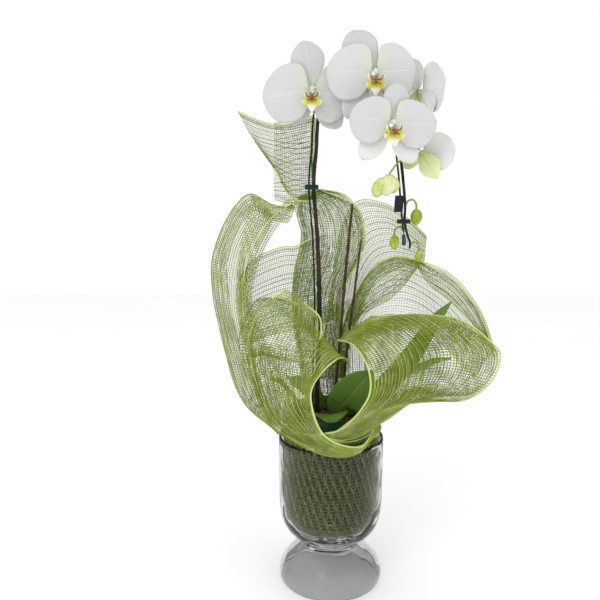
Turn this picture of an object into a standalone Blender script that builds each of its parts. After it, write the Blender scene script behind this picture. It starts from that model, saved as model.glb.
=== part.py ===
"""Moth orchid in a footed glass vase, wrapped with wide decorative mesh ribbon.

Metres, +Z up. The vase stands on Z = 0 and the front faces -Y. The tables below are measured from the vase's
axis; every piece is then set over by BOX_SHIFT, so that the whole object's box is centred on the Z axis.
"""
import math

import bmesh
import bpy
import numpy as np
from mathutils import Vector

# driving dimensions
BOX_SHIFT = (-0.0364, -0.0009, 0.0)
VASE_STEPS = 36
POT_STEPS = 28
MESH_THICKNESS = 0.0008
PETAL_THICKNESS = 0.0008
LEAF_THICKNESS = 0.0016
SPIKE_RADIUS_LOW = 0.0030
SPIKE_RADIUS_HIGH = 0.0021
SPIKE_RADIUS_TIP = 0.0013
STALK_RADIUS = 0.0012
WIRE_RADIUS = 0.0012
STICK_RADIUS = (0.0020, 0.0016)
FLOWER_CLEAR = 0.0050
COLUMN_RADIUS = 0.0034
PETAL_LIFT = 0.0004
RIBBON_ROWS = 5
RIBBON_COLS = 15
BARK_TOP = 0.2220

# radius and height pairs down the outside of the vase, then up inside its foot and down inside its bowl
VASE_OUTER = (
    (0.0672, 0.1990), (0.0686, 0.2000), (0.0700, 0.1988), (0.0702, 0.1700), (0.0700, 0.1350),
    (0.0692, 0.1080), (0.0668, 0.0890), (0.0606, 0.0740), (0.0505, 0.0640), (0.0390, 0.0575),
    (0.0340, 0.0520), (0.0370, 0.0465), (0.0490, 0.0400), (0.0600, 0.0310), (0.0672, 0.0200),
    (0.0695, 0.0100), (0.0688, 0.0035), (0.0662, 0.0000),
)
VASE_UNDER = (
    (0.0618, 0.0000), (0.0612, 0.0060), (0.0560, 0.0165), (0.0470, 0.0255), (0.0350, 0.0340),
    (0.0220, 0.0400), (0.0100, 0.0425), (0.0000, 0.0430),
)
VASE_INNER = (
    (0.0000, 0.0660), (0.0200, 0.0666), (0.0410, 0.0700), (0.0540, 0.0775), (0.0620, 0.0895),
    (0.0650, 0.1080), (0.0660, 0.1350), (0.0662, 0.1700), (0.0664, 0.1980),
)
LINER_OUTER = (
    (0.0622, 0.1960), (0.0622, 0.1120), (0.0590, 0.0920), (0.0515, 0.0805), (0.0400, 0.0735),
    (0.0200, 0.0700), (0.0000, 0.0695),
)
# the net is bunched under the pot, so the lining's floor is thick
LINER_INNER = (
    (0.0000, 0.1168), (0.0300, 0.1165), (0.0500, 0.1150), (0.0580, 0.1155), (0.0610, 0.1210),
    (0.0610, 0.1960),
)
POT = (
    (0.0000, 0.1180), (0.0440, 0.1180), (0.0456, 0.1196), (0.0565, 0.2215), (0.0590, 0.2225),
    (0.0590, 0.2350), (0.0580, 0.2362), (0.0568, 0.2362), (0.0560, 0.2350), (0.0552, 0.2215),
    (0.0442, 0.1215), (0.0000, 0.1215),
)
BARK = (
    (0.0000, 0.1222), (0.0430, 0.1222), (0.0540, 0.2190), (0.0510, 0.2215), (0.0000, BARK_TOP),
)

# each ribbon: its near selvage, a line half way across it and its far selvage, from start to end
RIBBONS = {
    "mesh_left_horn": (
        ((0.064, -0.045, 0.223), (0.032, -0.078, 0.212), (-0.012, -0.093, 0.231),
         (-0.029, -0.106, 0.279), (-0.021, -0.105, 0.305), (-0.001, -0.086, 0.321),
         (0.015, -0.050, 0.316), (0.024, -0.024, 0.296)),
        ((0.068, -0.040, 0.214), (0.030, -0.083, 0.206), (-0.012, -0.089, 0.206),
         (-0.058, -0.079, 0.228), (-0.088, -0.074, 0.259), (-0.110, -0.066, 0.336),
         (-0.088, -0.052, 0.384), (-0.033, -0.026, 0.364)),
        ((0.064, -0.032, 0.209), (0.026, -0.070, 0.205), (-0.014, -0.073, 0.205),
         (-0.051, -0.066, 0.220), (-0.081, -0.062, 0.261), (-0.101, -0.050, 0.332),
         (-0.084, -0.038, 0.387), (-0.040, -0.015, 0.379)),
    ),
    "mesh_left_loop": (
        ((-0.067, -0.045, 0.216), (-0.085, -0.040, 0.249), (-0.105, -0.034, 0.323),
         (-0.114, -0.030, 0.386), (-0.104, -0.026, 0.436), (-0.088, -0.018, 0.458),
         (-0.066, -0.004, 0.467), (-0.044, 0.006, 0.474)),
        ((-0.072, -0.028, 0.212), (-0.119, -0.025, 0.259), (-0.147, -0.012, 0.351),
         (-0.156, -0.002, 0.424), (-0.138, 0.006, 0.484), (-0.109, 0.014, 0.518),
         (-0.078, 0.018, 0.506), (-0.050, 0.020, 0.498)),
        ((-0.073, -0.006, 0.210), (-0.103, 0.006, 0.257), (-0.130, 0.018, 0.346),
         (-0.140, 0.027, 0.419), (-0.127, 0.032, 0.469), (-0.104, 0.034, 0.497),
         (-0.080, 0.032, 0.486), (-0.058, 0.031, 0.482)),
    ),
    "mesh_left_inner": (
        ((-0.122, -0.004, 0.410), (-0.100, -0.003, 0.436), (-0.068, 0.004, 0.450), (-0.046, 0.011, 0.452),
         (-0.026, 0.016, 0.462), (-0.006, 0.020, 0.470)),
        ((-0.124, -0.004, 0.370), (-0.096, -0.002, 0.388), (-0.062, 0.006, 0.400), (-0.042, 0.013, 0.402),
         (-0.022, 0.018, 0.404), (0.000, 0.022, 0.408)),
        ((-0.112, -0.004, 0.322), (-0.088, -0.003, 0.334), (-0.058, 0.004, 0.340), (-0.038, 0.012, 0.342),
         (-0.018, 0.017, 0.344), (0.004, 0.020, 0.350)),
    ),
    "mesh_right_horn": (
        ((-0.050, -0.053, 0.222), (-0.009, -0.083, 0.229), (0.017, -0.098, 0.251),
         (0.035, -0.104, 0.275), (0.041, -0.102, 0.296), (0.039, -0.094, 0.312),
         (0.033, -0.076, 0.325), (0.021, -0.048, 0.334), (0.007, -0.024, 0.333)),
        ((-0.036, -0.058, 0.217), (0.020, -0.076, 0.222), (0.062, -0.081, 0.258),
         (0.106, -0.090, 0.277), (0.123, -0.092, 0.306), (0.124, -0.084, 0.334),
         (0.109, -0.066, 0.354), (0.078, -0.044, 0.368), (0.030, -0.024, 0.352)),
        ((-0.008, -0.066, 0.214), (0.056, -0.053, 0.231), (0.106, -0.055, 0.263),
         (0.158, -0.058, 0.263), (0.194, -0.054, 0.284), (0.209, -0.044, 0.312),
         (0.203, -0.034, 0.330), (0.150, -0.026, 0.364), (0.051, -0.019, 0.364)),
    ),
    "mesh_right_loop": (
        ((0.012, 0.024, 0.272), (0.012, 0.022, 0.312), (0.018, 0.020, 0.352), (0.037, 0.030, 0.394),
         (0.060, 0.044, 0.422), (0.092, 0.056, 0.435), (0.127, 0.064, 0.428), (0.167, 0.068, 0.412),
         (0.198, 0.066, 0.382), (0.218, 0.058, 0.348), (0.229, 0.040, 0.306)),
        ((0.032, 0.018, 0.272), (0.030, 0.015, 0.309), (0.030, 0.013, 0.345), (0.043, 0.012, 0.377),
         (0.066, 0.012, 0.398), (0.094, 0.016, 0.405), (0.123, 0.021, 0.393), (0.154, 0.026, 0.371),
         (0.177, 0.028, 0.347), (0.195, 0.027, 0.322), (0.209, 0.022, 0.293)),
        ((0.050, 0.016, 0.276), (0.047, 0.014, 0.306), (0.042, 0.013, 0.336), (0.054, 0.010, 0.347),
         (0.071, 0.008, 0.353), (0.098, 0.008, 0.350), (0.123, 0.012, 0.345), (0.143, 0.016, 0.327),
         (0.163, 0.018, 0.307), (0.180, 0.019, 0.288), (0.196, 0.018, 0.271)),
    ),
    "mesh_back_loop": (
        ((0.026, 0.030, 0.258), (0.022, 0.036, 0.312), (0.014, 0.042, 0.358), (0.021, 0.050, 0.398),
         (0.042, 0.058, 0.430),
         (0.048, 0.066, 0.464), (0.037, 0.072, 0.502), (0.018, 0.070, 0.521),
         (-0.014, 0.060, 0.527)),
        ((-0.006, 0.034, 0.256), (-0.018, 0.039, 0.312), (-0.028, 0.043, 0.368), (-0.019, 0.039, 0.410),
         (-0.008, 0.037, 0.439),
         (-0.008, 0.040, 0.469), (-0.013, 0.046, 0.496), (-0.020, 0.052, 0.512),
         (-0.031, 0.058, 0.522)),
        ((-0.038, 0.032, 0.258), (-0.046, 0.040, 0.318), (-0.055, 0.050, 0.376), (-0.060, 0.052, 0.414),
         (-0.062, 0.052, 0.451),
         (-0.063, 0.053, 0.477), (-0.056, 0.056, 0.500), (-0.049, 0.060, 0.511),
         (-0.041, 0.064, 0.518)),
    ),
    "mesh_back_end": (
        ((-0.022, 0.054, 0.262), (-0.008, 0.072, 0.316), (0.004, 0.086, 0.380), (0.013, 0.094, 0.457),
         (0.039, 0.104, 0.510), (0.081, 0.110, 0.509), (0.115, 0.108, 0.488), (0.141, 0.096, 0.462)),
        ((-0.002, 0.056, 0.262), (0.010, 0.070, 0.312), (0.022, 0.080, 0.364), (0.034, 0.084, 0.426),
         (0.055, 0.088, 0.462), (0.084, 0.092, 0.471), (0.111, 0.093, 0.459), (0.138, 0.088, 0.442)),
        ((0.018, 0.052, 0.264), (0.028, 0.062, 0.306), (0.040, 0.068, 0.340), (0.053, 0.072, 0.376),
         (0.069, 0.078, 0.403), (0.089, 0.082, 0.414), (0.111, 0.084, 0.419), (0.135, 0.082, 0.423)),
    ),
    "mesh_tail": (
        ((-0.016, 0.006, 0.614), (-0.017, 0.008, 0.574), (-0.020, 0.010, 0.527),
         (-0.018, 0.014, 0.497)),
        ((-0.066, -0.010, 0.605), (-0.054, -0.008, 0.573), (-0.047, 0.002, 0.539),
         (-0.037, 0.008, 0.500)),
        ((-0.117, -0.026, 0.618), (-0.102, -0.022, 0.578), (-0.079, -0.012, 0.552),
         (-0.062, 0.002, 0.505)),
    ),
}

# centre line from the bark to the tip, half widths along it, and the direction across the blade
LEAVES = {
    "leaf_front": (
        ((0.002, -0.014, 0.2290), (0.010, -0.025, 0.243), (0.022, -0.037, 0.263),
         (0.036, -0.045, 0.284), (0.050, -0.050, 0.300)),
        (0.007, 0.019, 0.026, 0.021, 0.002), (0.80, 0.10, -0.58),
    ),
    "leaf_right_long": (
        ((0.017, -0.007, 0.2290), (0.039, -0.022, 0.244), (0.067, -0.033, 0.276),
         (0.101, -0.028, 0.316), (0.135, -0.006, 0.357), (0.157, 0.003, 0.379)),
        (0.006, 0.012, 0.014, 0.013, 0.008, 0.001), (0.74, 0.10, -0.62),
    ),
    "leaf_right_low": (
        ((0.022, 0.010, 0.2290), (0.058, 0.004, 0.251), (0.101, -0.008, 0.285),
         (0.132, -0.017, 0.302), (0.153, -0.021, 0.309)),
        (0.006, 0.012, 0.014, 0.010, 0.001), (0.30, 0.60, -0.45),
    ),
    "leaf_low_front": (
        ((-0.006, -0.030, 0.2290), (-0.004, -0.042, 0.240), (-0.003, -0.056, 0.2435),
         (-0.003, -0.068, 0.239)),
        (0.010, 0.020, 0.021, 0.006), (1.00, 0.00, 0.06),
    ),
    "leaf_left": (
        ((-0.036, 0.012, 0.2290), (-0.052, 0.016, 0.246), (-0.068, 0.013, 0.266),
         (-0.080, 0.008, 0.273)),
        (0.008, 0.015, 0.014, 0.002), (0.10, 0.97, -0.15),
    ),
    "leaf_back": (
        ((-0.012, 0.022, 0.2290), (-0.024, 0.038, 0.244), (-0.042, 0.056, 0.256),
         (-0.060, 0.070, 0.260)),
        (0.006, 0.015, 0.018, 0.002), (0.80, 0.60, 0.00),
    ),
}

SPIKE_ROUTE = (
    (-0.019, 0.000, 0.2226), (-0.018, 0.000, 0.288), (-0.016, 0.000, 0.374), (-0.019, 0.000, 0.460),
    (-0.024, -0.004, 0.527), (-0.021, -0.008, 0.573), (-0.019, -0.009, 0.609),
    (-0.013, -0.007, 0.639), (0.000, -0.009, 0.660), (0.015, -0.016, 0.675), (0.033, -0.026, 0.679),
    (0.051, -0.034, 0.667), (0.065, -0.042, 0.635), (0.073, -0.052, 0.591), (0.077, -0.058, 0.558),
    (0.080, -0.060, 0.533), (0.083, -0.060, 0.504), (0.083, -0.060, 0.484), (0.087, -0.060, 0.467),
    (0.090, -0.060, 0.459), (0.089, -0.060, 0.451),
)
WIRE_ROUTE = (
    (-0.0254, 0.001, 0.2226), (-0.0242, 0.001, 0.288), (-0.0222, 0.000, 0.374),
    (-0.0252, -0.001, 0.460), (-0.0302, -0.005, 0.527), (-0.0272, -0.010, 0.573),
    (-0.0252, -0.012, 0.609), (-0.020, -0.012, 0.643), (-0.005, -0.014, 0.666),
    (0.012, -0.022, 0.682), (0.034, -0.032, 0.686), (0.055, -0.040, 0.673), (0.0665, -0.047, 0.637),
    (0.0690, -0.053, 0.604), (0.0700, -0.058, 0.588), (0.071, -0.064, 0.561), (0.074, -0.066, 0.535),
    (0.077, -0.066, 0.504), (0.0795, -0.065, 0.484), (0.081, -0.066, 0.470),
)
CAP_ROUTE = ((0.0811, -0.066, 0.4693), (0.0814, -0.0662, 0.462), (0.0816, -0.0664, 0.4560))
CAP_RADII = (0.0019, 0.0024, 0.0021)
STICK_ROUTES = (
    ((0.026, 0.004, 0.507), (0.016, 0.002, 0.395), (0.011, -0.001, 0.323), (0.002, -0.002, 0.2226)),
    ((0.038, 0.007, 0.461), (0.029, 0.005, 0.382), (0.023, 0.004, 0.335), (0.012, 0.004, 0.2226)),
)
BUD_STALKS = (
    ((0.0825, -0.060, 0.500), (0.086, -0.060, 0.508), (0.092, -0.060, 0.510), (0.096, -0.060, 0.505),
     (0.0965, -0.060, 0.500)),
    ((0.0850, -0.060, 0.474), (0.080, -0.0585, 0.4775), (0.075, -0.058, 0.4775),
     (0.0715, -0.0585, 0.473), (0.0715, -0.0590, 0.469)),
    ((0.0900, -0.060, 0.459), (0.096, -0.060, 0.460), (0.100, -0.060, 0.457), (0.1005, -0.060, 0.451)),
    ((0.0780, -0.0590, 0.556), (0.0785, -0.072, 0.555), (0.0700, -0.081, 0.551),
     (0.0600, -0.0825, 0.5405)),
)
# centre and half sizes of the closed buds
BUDS = {
    "bud_upper": ((0.0965, -0.060, 0.4895), (0.0070, 0.0066, 0.0098)),
    "bud_middle": ((0.0712, -0.0595, 0.4595), (0.0058, 0.0056, 0.0088)),
    "bud_lower": ((0.1005, -0.060, 0.4430), (0.0045, 0.0044, 0.0072)),
}
HALF_BUD_LOBES = (
    ((0.0500, -0.081, 0.5280), (0.0090, 0.0080, 0.0100)),
    ((0.0630, -0.080, 0.5265), (0.0100, 0.0085, 0.0118)),
    ((0.0575, -0.083, 0.5210), (0.0085, 0.0075, 0.0120)),
)
# clips round spike and wire: centre, half length, half width, height
CLIPS = {
    "clip_low": ((-0.0268, -0.0045, 0.527), 0.0074, 0.0052, 0.0060),
    "clip_high": ((0.0812, -0.0628, 0.4845), 0.0066, 0.0060, 0.0050),
}
CLIP_WALL = 0.0014
TAG_CENTRE = (0.0735, -0.0735, 0.505)
TAG_SIZE = (0.0100, 0.0030, 0.0190)

# centre, direction faced, and tips: upper sepal, left and right petal, left and right lower sepal
FLOWERS = {
    "flower_1": (
        (-0.027, -0.045, 0.639), (-0.05, -1.00, -0.08),
        (-0.036, -0.047, 0.694), (-0.086, -0.043, 0.630), (0.018, -0.043, 0.626),
        (-0.052, -0.035, 0.604), (0.007, -0.040, 0.597),
    ),
    "flower_2": (
        (0.044, -0.066, 0.654), (0.05, -1.00, -0.10),
        (0.017, -0.062, 0.700), (-0.011, -0.064, 0.655), (0.092, -0.061, 0.657),
        (0.015, -0.062, 0.603), (0.063, -0.0625, 0.607),
    ),
    "flower_3": (
        (0.061, -0.095, 0.593), (0.10, -1.00, 0.02),
        (0.069, -0.092, 0.638), (0.014, -0.096, 0.601), (0.112, -0.088, 0.592),
        (0.028, -0.094, 0.556), (0.088, -0.089, 0.551),
    ),
    "flower_4": (
        (0.1035, -0.0340, 0.6385), (0.83, 0.55, -0.05),
        (0.0940, -0.029, 0.675), (0.0815, -0.001, 0.638), (0.1260, -0.067, 0.643),
        (0.092, -0.016, 0.604), (0.1175, -0.055, 0.6095),
    ),
    "flower_5": (
        (0.1020, -0.0480, 0.5670), (0.50, 0.82, -0.28),
        (0.096, -0.036, 0.602), (0.0745, -0.028, 0.583), (0.1385, -0.0705, 0.564),
        (0.0865, -0.050, 0.544), (0.1200, -0.074, 0.5330),
    ),
}
FLOWER_PETAL_WIDTH = {
    "flower_1": (0.040, 0.066, 0.064, 0.028, 0.032),
    "flower_2": (0.034, 0.062, 0.061, 0.034, 0.034),
    "flower_3": (0.029, 0.052, 0.053, 0.027, 0.028),
    "flower_4": (0.032, 0.044, 0.060, 0.026, 0.027),
    "flower_5": (0.024, 0.032, 0.048, 0.022, 0.029),
}
SEPAL_DROP = {"sepal_top": 0.0038, "sepal_left": 0.0060, "sepal_right": 0.0038}
PART_NAMES = ("sepal_top", "petal_left", "petal_right", "sepal_left", "sepal_right")
# lip: column, middle lobe and two side lobes, each with its place across, up and out and its half sizes
LIP_FORMS = (
    ((0.0, 0.0, 0.0045), (COLUMN_RADIUS, COLUMN_RADIUS, 0.0085)),
    ((0.0, -0.0150, 0.0105), (0.0055, 0.0145, 0.0028)),
    ((0.0064, -0.0105, 0.0100), (0.0044, 0.0070, 0.0034)),
    ((-0.0064, -0.0105, 0.0100), (0.0044, 0.0070, 0.0034)),
)
LIP_SIZE = {"flower_1": 1.0, "flower_2": 1.0, "flower_3": 1.0, "flower_4": 0.8, "flower_5": 0.62}
# each flower's stalk, from the spike to the flower's back
FLOWER_STALKS = (
    ((-0.0170, -0.0078, 0.634), (-0.0185, -0.020, 0.641), (-0.0240, -0.033, 0.642),
     (-0.0267, -0.0402, 0.6394)),
    ((0.0400, -0.0292, 0.677), (0.0415, -0.042, 0.675), (0.0430, -0.055, 0.665),
     (0.0438, -0.0602, 0.6550)),
    ((0.0735, -0.0515, 0.599), (0.0750, -0.062, 0.602), (0.0690, -0.080, 0.601),
     (0.0615, -0.0892, 0.5932)),
    ((0.0680, -0.0445, 0.624), (0.0800, -0.0530, 0.615), (0.0930, -0.0530, 0.614),
     (0.0985, -0.0480, 0.624), (0.0972, -0.0420, 0.637), (0.0991, -0.0369, 0.6388)),
    ((0.0755, -0.0560, 0.573), (0.0820, -0.0620, 0.575), (0.0920, -0.0600, 0.572),
     (0.0994, -0.0522, 0.5685)),
)

MATERIALS = {
    "clear_glass": ((0.86, 0.90, 0.90), 0.04, 0.0),
    "pot_plastic": ((0.02, 0.09, 0.06), 0.45, 0.0),
    "bark": ((0.13, 0.07, 0.03), 0.95, 0.0),
    "ribbon_mesh": ((0.42, 0.58, 0.20), 0.50, 0.0),
    "leaf_green": ((0.06, 0.16, 0.03), 0.42, 0.0),
    "spike_brown": ((0.06, 0.03, 0.03), 0.50, 0.0),
    "stick_brown": ((0.10, 0.045, 0.015), 0.75, 0.0),
    "wire_dark": ((0.03, 0.05, 0.05), 0.40, 0.3),
    "cap_rubber": ((0.01, 0.16, 0.18), 0.55, 0.0),
    "clip_plastic": ((0.01, 0.06, 0.07), 0.40, 0.0),
    "tag_plastic": ((0.01, 0.015, 0.06), 0.40, 0.0),
    "petal_white": ((0.88, 0.88, 0.84), 0.55, 0.0),
    "lip_yellow": ((0.80, 0.66, 0.18), 0.50, 0.0),
    "bud_green": ((0.45, 0.60, 0.12), 0.50, 0.0),
    "bud_pale": ((0.78, 0.82, 0.50), 0.50, 0.0),
}


def material(name):
    """Named surface look, made once."""
    found = bpy.data.materials.get(name)
    if found:
        return found
    colour, roughness, metallic = MATERIALS[name]
    made = bpy.data.materials.new(name)
    made.use_nodes = True
    shader = made.node_tree.nodes["Principled BSDF"]
    shader.inputs["Base Color"].default_value = (*colour, 1.0)
    shader.inputs["Roughness"].default_value = roughness
    shader.inputs["Metallic"].default_value = metallic
    return made


def place(name, bm, look, smooth=True):
    """Turns the bmesh into the named object with its material."""
    bmesh.ops.recalc_face_normals(bm, faces=bm.faces)
    bmesh.ops.translate(bm, verts=bm.verts, vec=BOX_SHIFT)
    mesh = bpy.data.meshes.new(name)
    bm.to_mesh(mesh)
    bm.free()
    for polygon in mesh.polygons:
        polygon.use_smooth = smooth
    mesh.materials.append(material(look))
    made = bpy.data.objects.new(name, mesh)
    bpy.context.scene.collection.objects.link(made)
    return made


def lathe(name, profile, look, steps=VASE_STEPS):
    """Closed solid of revolution from a closed or axis-to-axis profile of radius and height."""
    bm = bmesh.new()
    ring = [bm.verts.new((radius, 0.0, height)) for radius, height in profile]
    edges = [bm.edges.new(pair) for pair in zip(ring, ring[1:])]
    if profile[0][0] > 0.0 and profile[-1][0] > 0.0:
        edges.append(bm.edges.new((ring[-1], ring[0])))
    bmesh.ops.spin(bm, geom=ring + edges, cent=(0, 0, 0), axis=(0, 0, 1), angle=math.tau,
                   steps=steps, use_merge=True)
    bmesh.ops.remove_doubles(bm, verts=bm.verts, dist=1e-6)
    return place(name, bm, look)


def spline(points, count):
    """Points evenly numbered along a Catmull-Rom curve through the given points."""
    knots = [np.array(p, dtype=float) for p in points]
    if len(knots) == 2:
        return [knots[0] + (knots[1] - knots[0]) * i / (count - 1) for i in range(count)]
    line = [2 * knots[0] - knots[1], *knots, 2 * knots[-1] - knots[-2]]
    out = []
    for i in range(count):
        at = (len(knots) - 1) * i / (count - 1)
        k = min(int(at), len(knots) - 2)
        t = at - k
        a, b, c, d = line[k:k + 4]
        out.append(0.5 * (2 * b + (c - a) * t + (2 * a - 5 * b + 4 * c - d) * t ** 2
                          + (3 * b - a - 3 * c + d) * t ** 3))
    return out


def slab(name, grid, thickness, look):
    """Closed thin solid either side of a grid of mid-surface points."""
    points = np.array(grid)
    along = np.gradient(points, axis=0)
    across = np.gradient(points, axis=1)
    normal = np.cross(along, across)
    normal /= np.linalg.norm(normal, axis=2, keepdims=True)
    bm = bmesh.new()
    sides = []
    for sign in (0.5, -0.5):
        face = points + normal * thickness * sign
        sides.append([[bm.verts.new(p) for p in row] for row in face])
    rows, cols = points.shape[:2]
    upper, lower = sides
    for i in range(rows - 1):
        for j in range(cols - 1):
            bm.faces.new((upper[i][j], upper[i][j + 1], upper[i + 1][j + 1], upper[i + 1][j]))
            bm.faces.new((lower[i][j], lower[i + 1][j], lower[i + 1][j + 1], lower[i][j + 1]))
    for i in range(rows - 1):
        for j in (0, cols - 1):
            bm.faces.new((upper[i][j], upper[i + 1][j], lower[i + 1][j], lower[i][j]))
    for j in range(cols - 1):
        for i in (0, rows - 1):
            bm.faces.new((upper[i][j], upper[i][j + 1], lower[i][j + 1], lower[i][j]))
    return place(name, bm, look)


def tube_mesh(route, radii, sides=8, rings=12):
    """Closed round tube along a smooth route; radii are spread evenly along it."""
    centres = spline(route, rings)
    sizes = np.interp(np.linspace(0, 1, rings), np.linspace(0, 1, len(radii)), radii)
    bm = bmesh.new()
    guide = Vector((0.31, 0.95, 0.05))
    loops = []
    for i, centre in enumerate(centres):
        ahead = Vector(centres[min(i + 1, rings - 1)] - centres[max(i - 1, 0)]).normalized()
        guide = (guide - ahead * guide.dot(ahead)).normalized()
        other = ahead.cross(guide)
        loop = []
        for k in range(sides):
            turn = math.tau * k / sides
            offset = (guide * math.cos(turn) + other * math.sin(turn)) * float(sizes[i])
            loop.append(bm.verts.new(Vector(centre) + offset))
        loops.append(loop)
    for first, second in zip(loops, loops[1:]):
        for k in range(sides):
            n = (k + 1) % sides
            bm.faces.new((first[k], first[n], second[n], second[k]))
    bm.faces.new(loops[0][::-1])
    bm.faces.new(loops[-1])
    return bm


def ball_mesh(centre, sizes, frame=None, segments=8, rings=6):
    """Closed ellipsoid; frame is its three unit directions."""
    bm = bmesh.new()
    bmesh.ops.create_uvsphere(bm, u_segments=segments, v_segments=rings, radius=1.0)
    axes = frame or (Vector((1, 0, 0)), Vector((0, 1, 0)), Vector((0, 0, 1)))
    for vert in bm.verts:
        co = vert.co.copy()
        vert.co = Vector(centre) + sum((axes[k] * co[k] * sizes[k] for k in range(3)), Vector())
    return bm


def fuse(name, meshes, look):
    """One closed solid from several overlapping ones."""
    objects = [place(f"{name}_{i}", bm, look) for i, bm in enumerate(meshes)]
    whole = objects[0]
    for other in objects[1:]:
        modifier = whole.modifiers.new("fuse", "BOOLEAN")
        modifier.operation = "UNION"
        modifier.solver = "EXACT"
        modifier.object = other
        bpy.context.view_layer.objects.active = whole
        bpy.ops.object.modifier_apply(modifier=modifier.name)
        bpy.data.objects.remove(other, do_unlink=True)
    whole.name = name
    whole.data.name = name
    for polygon in whole.data.polygons:
        polygon.use_smooth = True
    return whole


def ribbon(name, rails):
    """Net ribbon as a thin solid between its two selvages."""
    lines = [spline(rail, RIBBON_COLS) for rail in rails]
    grid = [spline([line[j] for line in lines], RIBBON_ROWS) for j in range(RIBBON_COLS)]
    return slab(name, grid, MESH_THICKNESS, "ribbon_mesh")


def leaf(name, centre_line, half_widths, across):
    """Strap leaf with a shallow trough along its midrib."""
    rows = 8
    line = spline(centre_line, rows)
    widths = np.interp(np.linspace(0, 1, rows), np.linspace(0, 1, len(half_widths)), half_widths)
    grid = []
    for i, centre in enumerate(line):
        ahead = line[min(i + 1, rows - 1)] - line[max(i - 1, 0)]
        ahead /= np.linalg.norm(ahead)
        side = np.array(across) - ahead * np.dot(across, ahead)
        side /= np.linalg.norm(side)
        up = np.cross(side, ahead)
        up *= math.copysign(1.0, up[2] - 0.5 * up[1])
        grid.append([centre + side * widths[i] * t + up * widths[i] * 0.16 * abs(t)
                     for t in (-1.0, -0.5, 0.0, 0.5, 1.0)])
    return slab(name, grid, LEAF_THICKNESS, "leaf_green")


def petal(name, centre, facing, tip, width, broad, drop):
    """One petal or sepal, narrow where it joins, recurved a little at its tip."""
    rows = 6
    middle = np.array(centre)
    face = np.array(facing) / np.linalg.norm(facing)
    reach = np.array(tip) - middle
    length = np.linalg.norm(reach)
    ahead = reach / length
    side = np.cross(face, ahead)
    side /= np.linalg.norm(side)
    grid = []
    for i in range(rows):
        s = i / (rows - 1)
        along = FLOWER_CLEAR + (length - FLOWER_CLEAR) * s
        if broad:
            half = 0.5 * width * math.sin(math.pi * (0.045 + 0.925 * s ** 0.72)) ** 0.60
        else:
            half = 0.5 * width * math.sin(math.pi * (0.045 + 0.915 * s ** 0.80)) ** 0.80
        lift = 0.10 * length * s * (1.0 - s) - 0.05 * length * s * s
        grid.append([middle + ahead * along + side * half * t
                     + face * (lift + drop - 0.05 * half * t * t) for t in (-1, -0.5, 0, 0.5, 1)])
    return slab(name, grid, PETAL_THICKNESS, "petal_white")


def lip(name, centre, facing, size):
    """Lip with its side lobes and the column above it."""
    face = Vector(facing).normalized()
    side = face.cross(Vector((0, 0, 1))).normalized()
    up = side.cross(face).normalized()
    middle = Vector(centre)
    axes = (side, up, face)
    pieces = []
    for (across, rise, out), sizes in LIP_FORMS:
        spot = middle + (side * across + up * rise + face * out) * size
        pieces.append(ball_mesh(spot, [half * size for half in sizes], axes))
    return fuse(name, pieces, "lip_yellow")


def flower(name, layout, widths):
    """Open flower: three sepals behind two broad petals, and the lip."""
    centre, facing, *tips = layout
    for part, tip, width in zip(PART_NAMES, tips, widths):
        broad = part.startswith("petal")
        petal(f"{name}_{part}", centre, facing, tip, width, broad,
              PETAL_LIFT if broad else -SEPAL_DROP[part])
    lip(f"{name}_lip", centre, facing, LIP_SIZE[name])


def spike():
    """Flower spike with the stalks of its flowers and buds, one grown piece."""
    radii = (SPIKE_RADIUS_LOW, SPIKE_RADIUS_LOW, SPIKE_RADIUS_LOW, SPIKE_RADIUS_HIGH,
             SPIKE_RADIUS_HIGH, SPIKE_RADIUS_HIGH, SPIKE_RADIUS_TIP)
    solids = [tube_mesh(SPIKE_ROUTE, radii, sides=8, rings=38)]
    for route in FLOWER_STALKS + BUD_STALKS:
        solids.append(tube_mesh(route, (STALK_RADIUS, STALK_RADIUS * 0.9), 6, 7))
    fuse("flower_spike", solids, "spike_brown")


def clip(name, centre, half_length, half_width, height):
    """Small oval clip round the spike and its wire."""
    bm = bmesh.new()
    walls = []
    for grow in (0.0, CLIP_WALL):
        for level in (-0.5, 0.5):
            walls.append([bm.verts.new((
                centre[0] + (half_length + grow) * math.cos(math.tau * k / 16),
                centre[1] + (half_width + grow) * math.sin(math.tau * k / 16),
                centre[2] + height * level)) for k in range(16)])
    inner_low, inner_high, outer_low, outer_high = walls
    for k in range(16):
        n = (k + 1) % 16
        bm.faces.new((inner_low[k], inner_high[k], inner_high[n], inner_low[n]))
        bm.faces.new((outer_low[k], outer_low[n], outer_high[n], outer_high[k]))
        bm.faces.new((inner_high[k], outer_high[k], outer_high[n], inner_high[n]))
        bm.faces.new((inner_low[k], inner_low[n], outer_low[n], outer_low[k]))
    return place(name, bm, "clip_plastic")


def tag():
    """Folded plastic tag clipped to the wire."""
    bm = bmesh.new()
    bmesh.ops.create_cube(bm, size=1.0)
    for vert in bm.verts:
        vert.co = Vector([TAG_CENTRE[k] + vert.co[k] * TAG_SIZE[k] for k in range(3)])
    bmesh.ops.bevel(bm, geom=list(bm.edges), offset=0.0008, segments=2, affect="EDGES")
    return place("tag_clip", bm, "tag_plastic", smooth=False)


def vase_and_pot():
    """Vase, the net lining in it, the pot and its bark."""
    lathe("glass_vase", VASE_INNER + VASE_OUTER + VASE_UNDER, "clear_glass")
    lathe("mesh_liner", LINER_INNER + LINER_OUTER, "ribbon_mesh", POT_STEPS)
    lathe("nursery_pot", POT, "pot_plastic", POT_STEPS)
    lathe("potting_bark", BARK, "bark", POT_STEPS)


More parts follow.
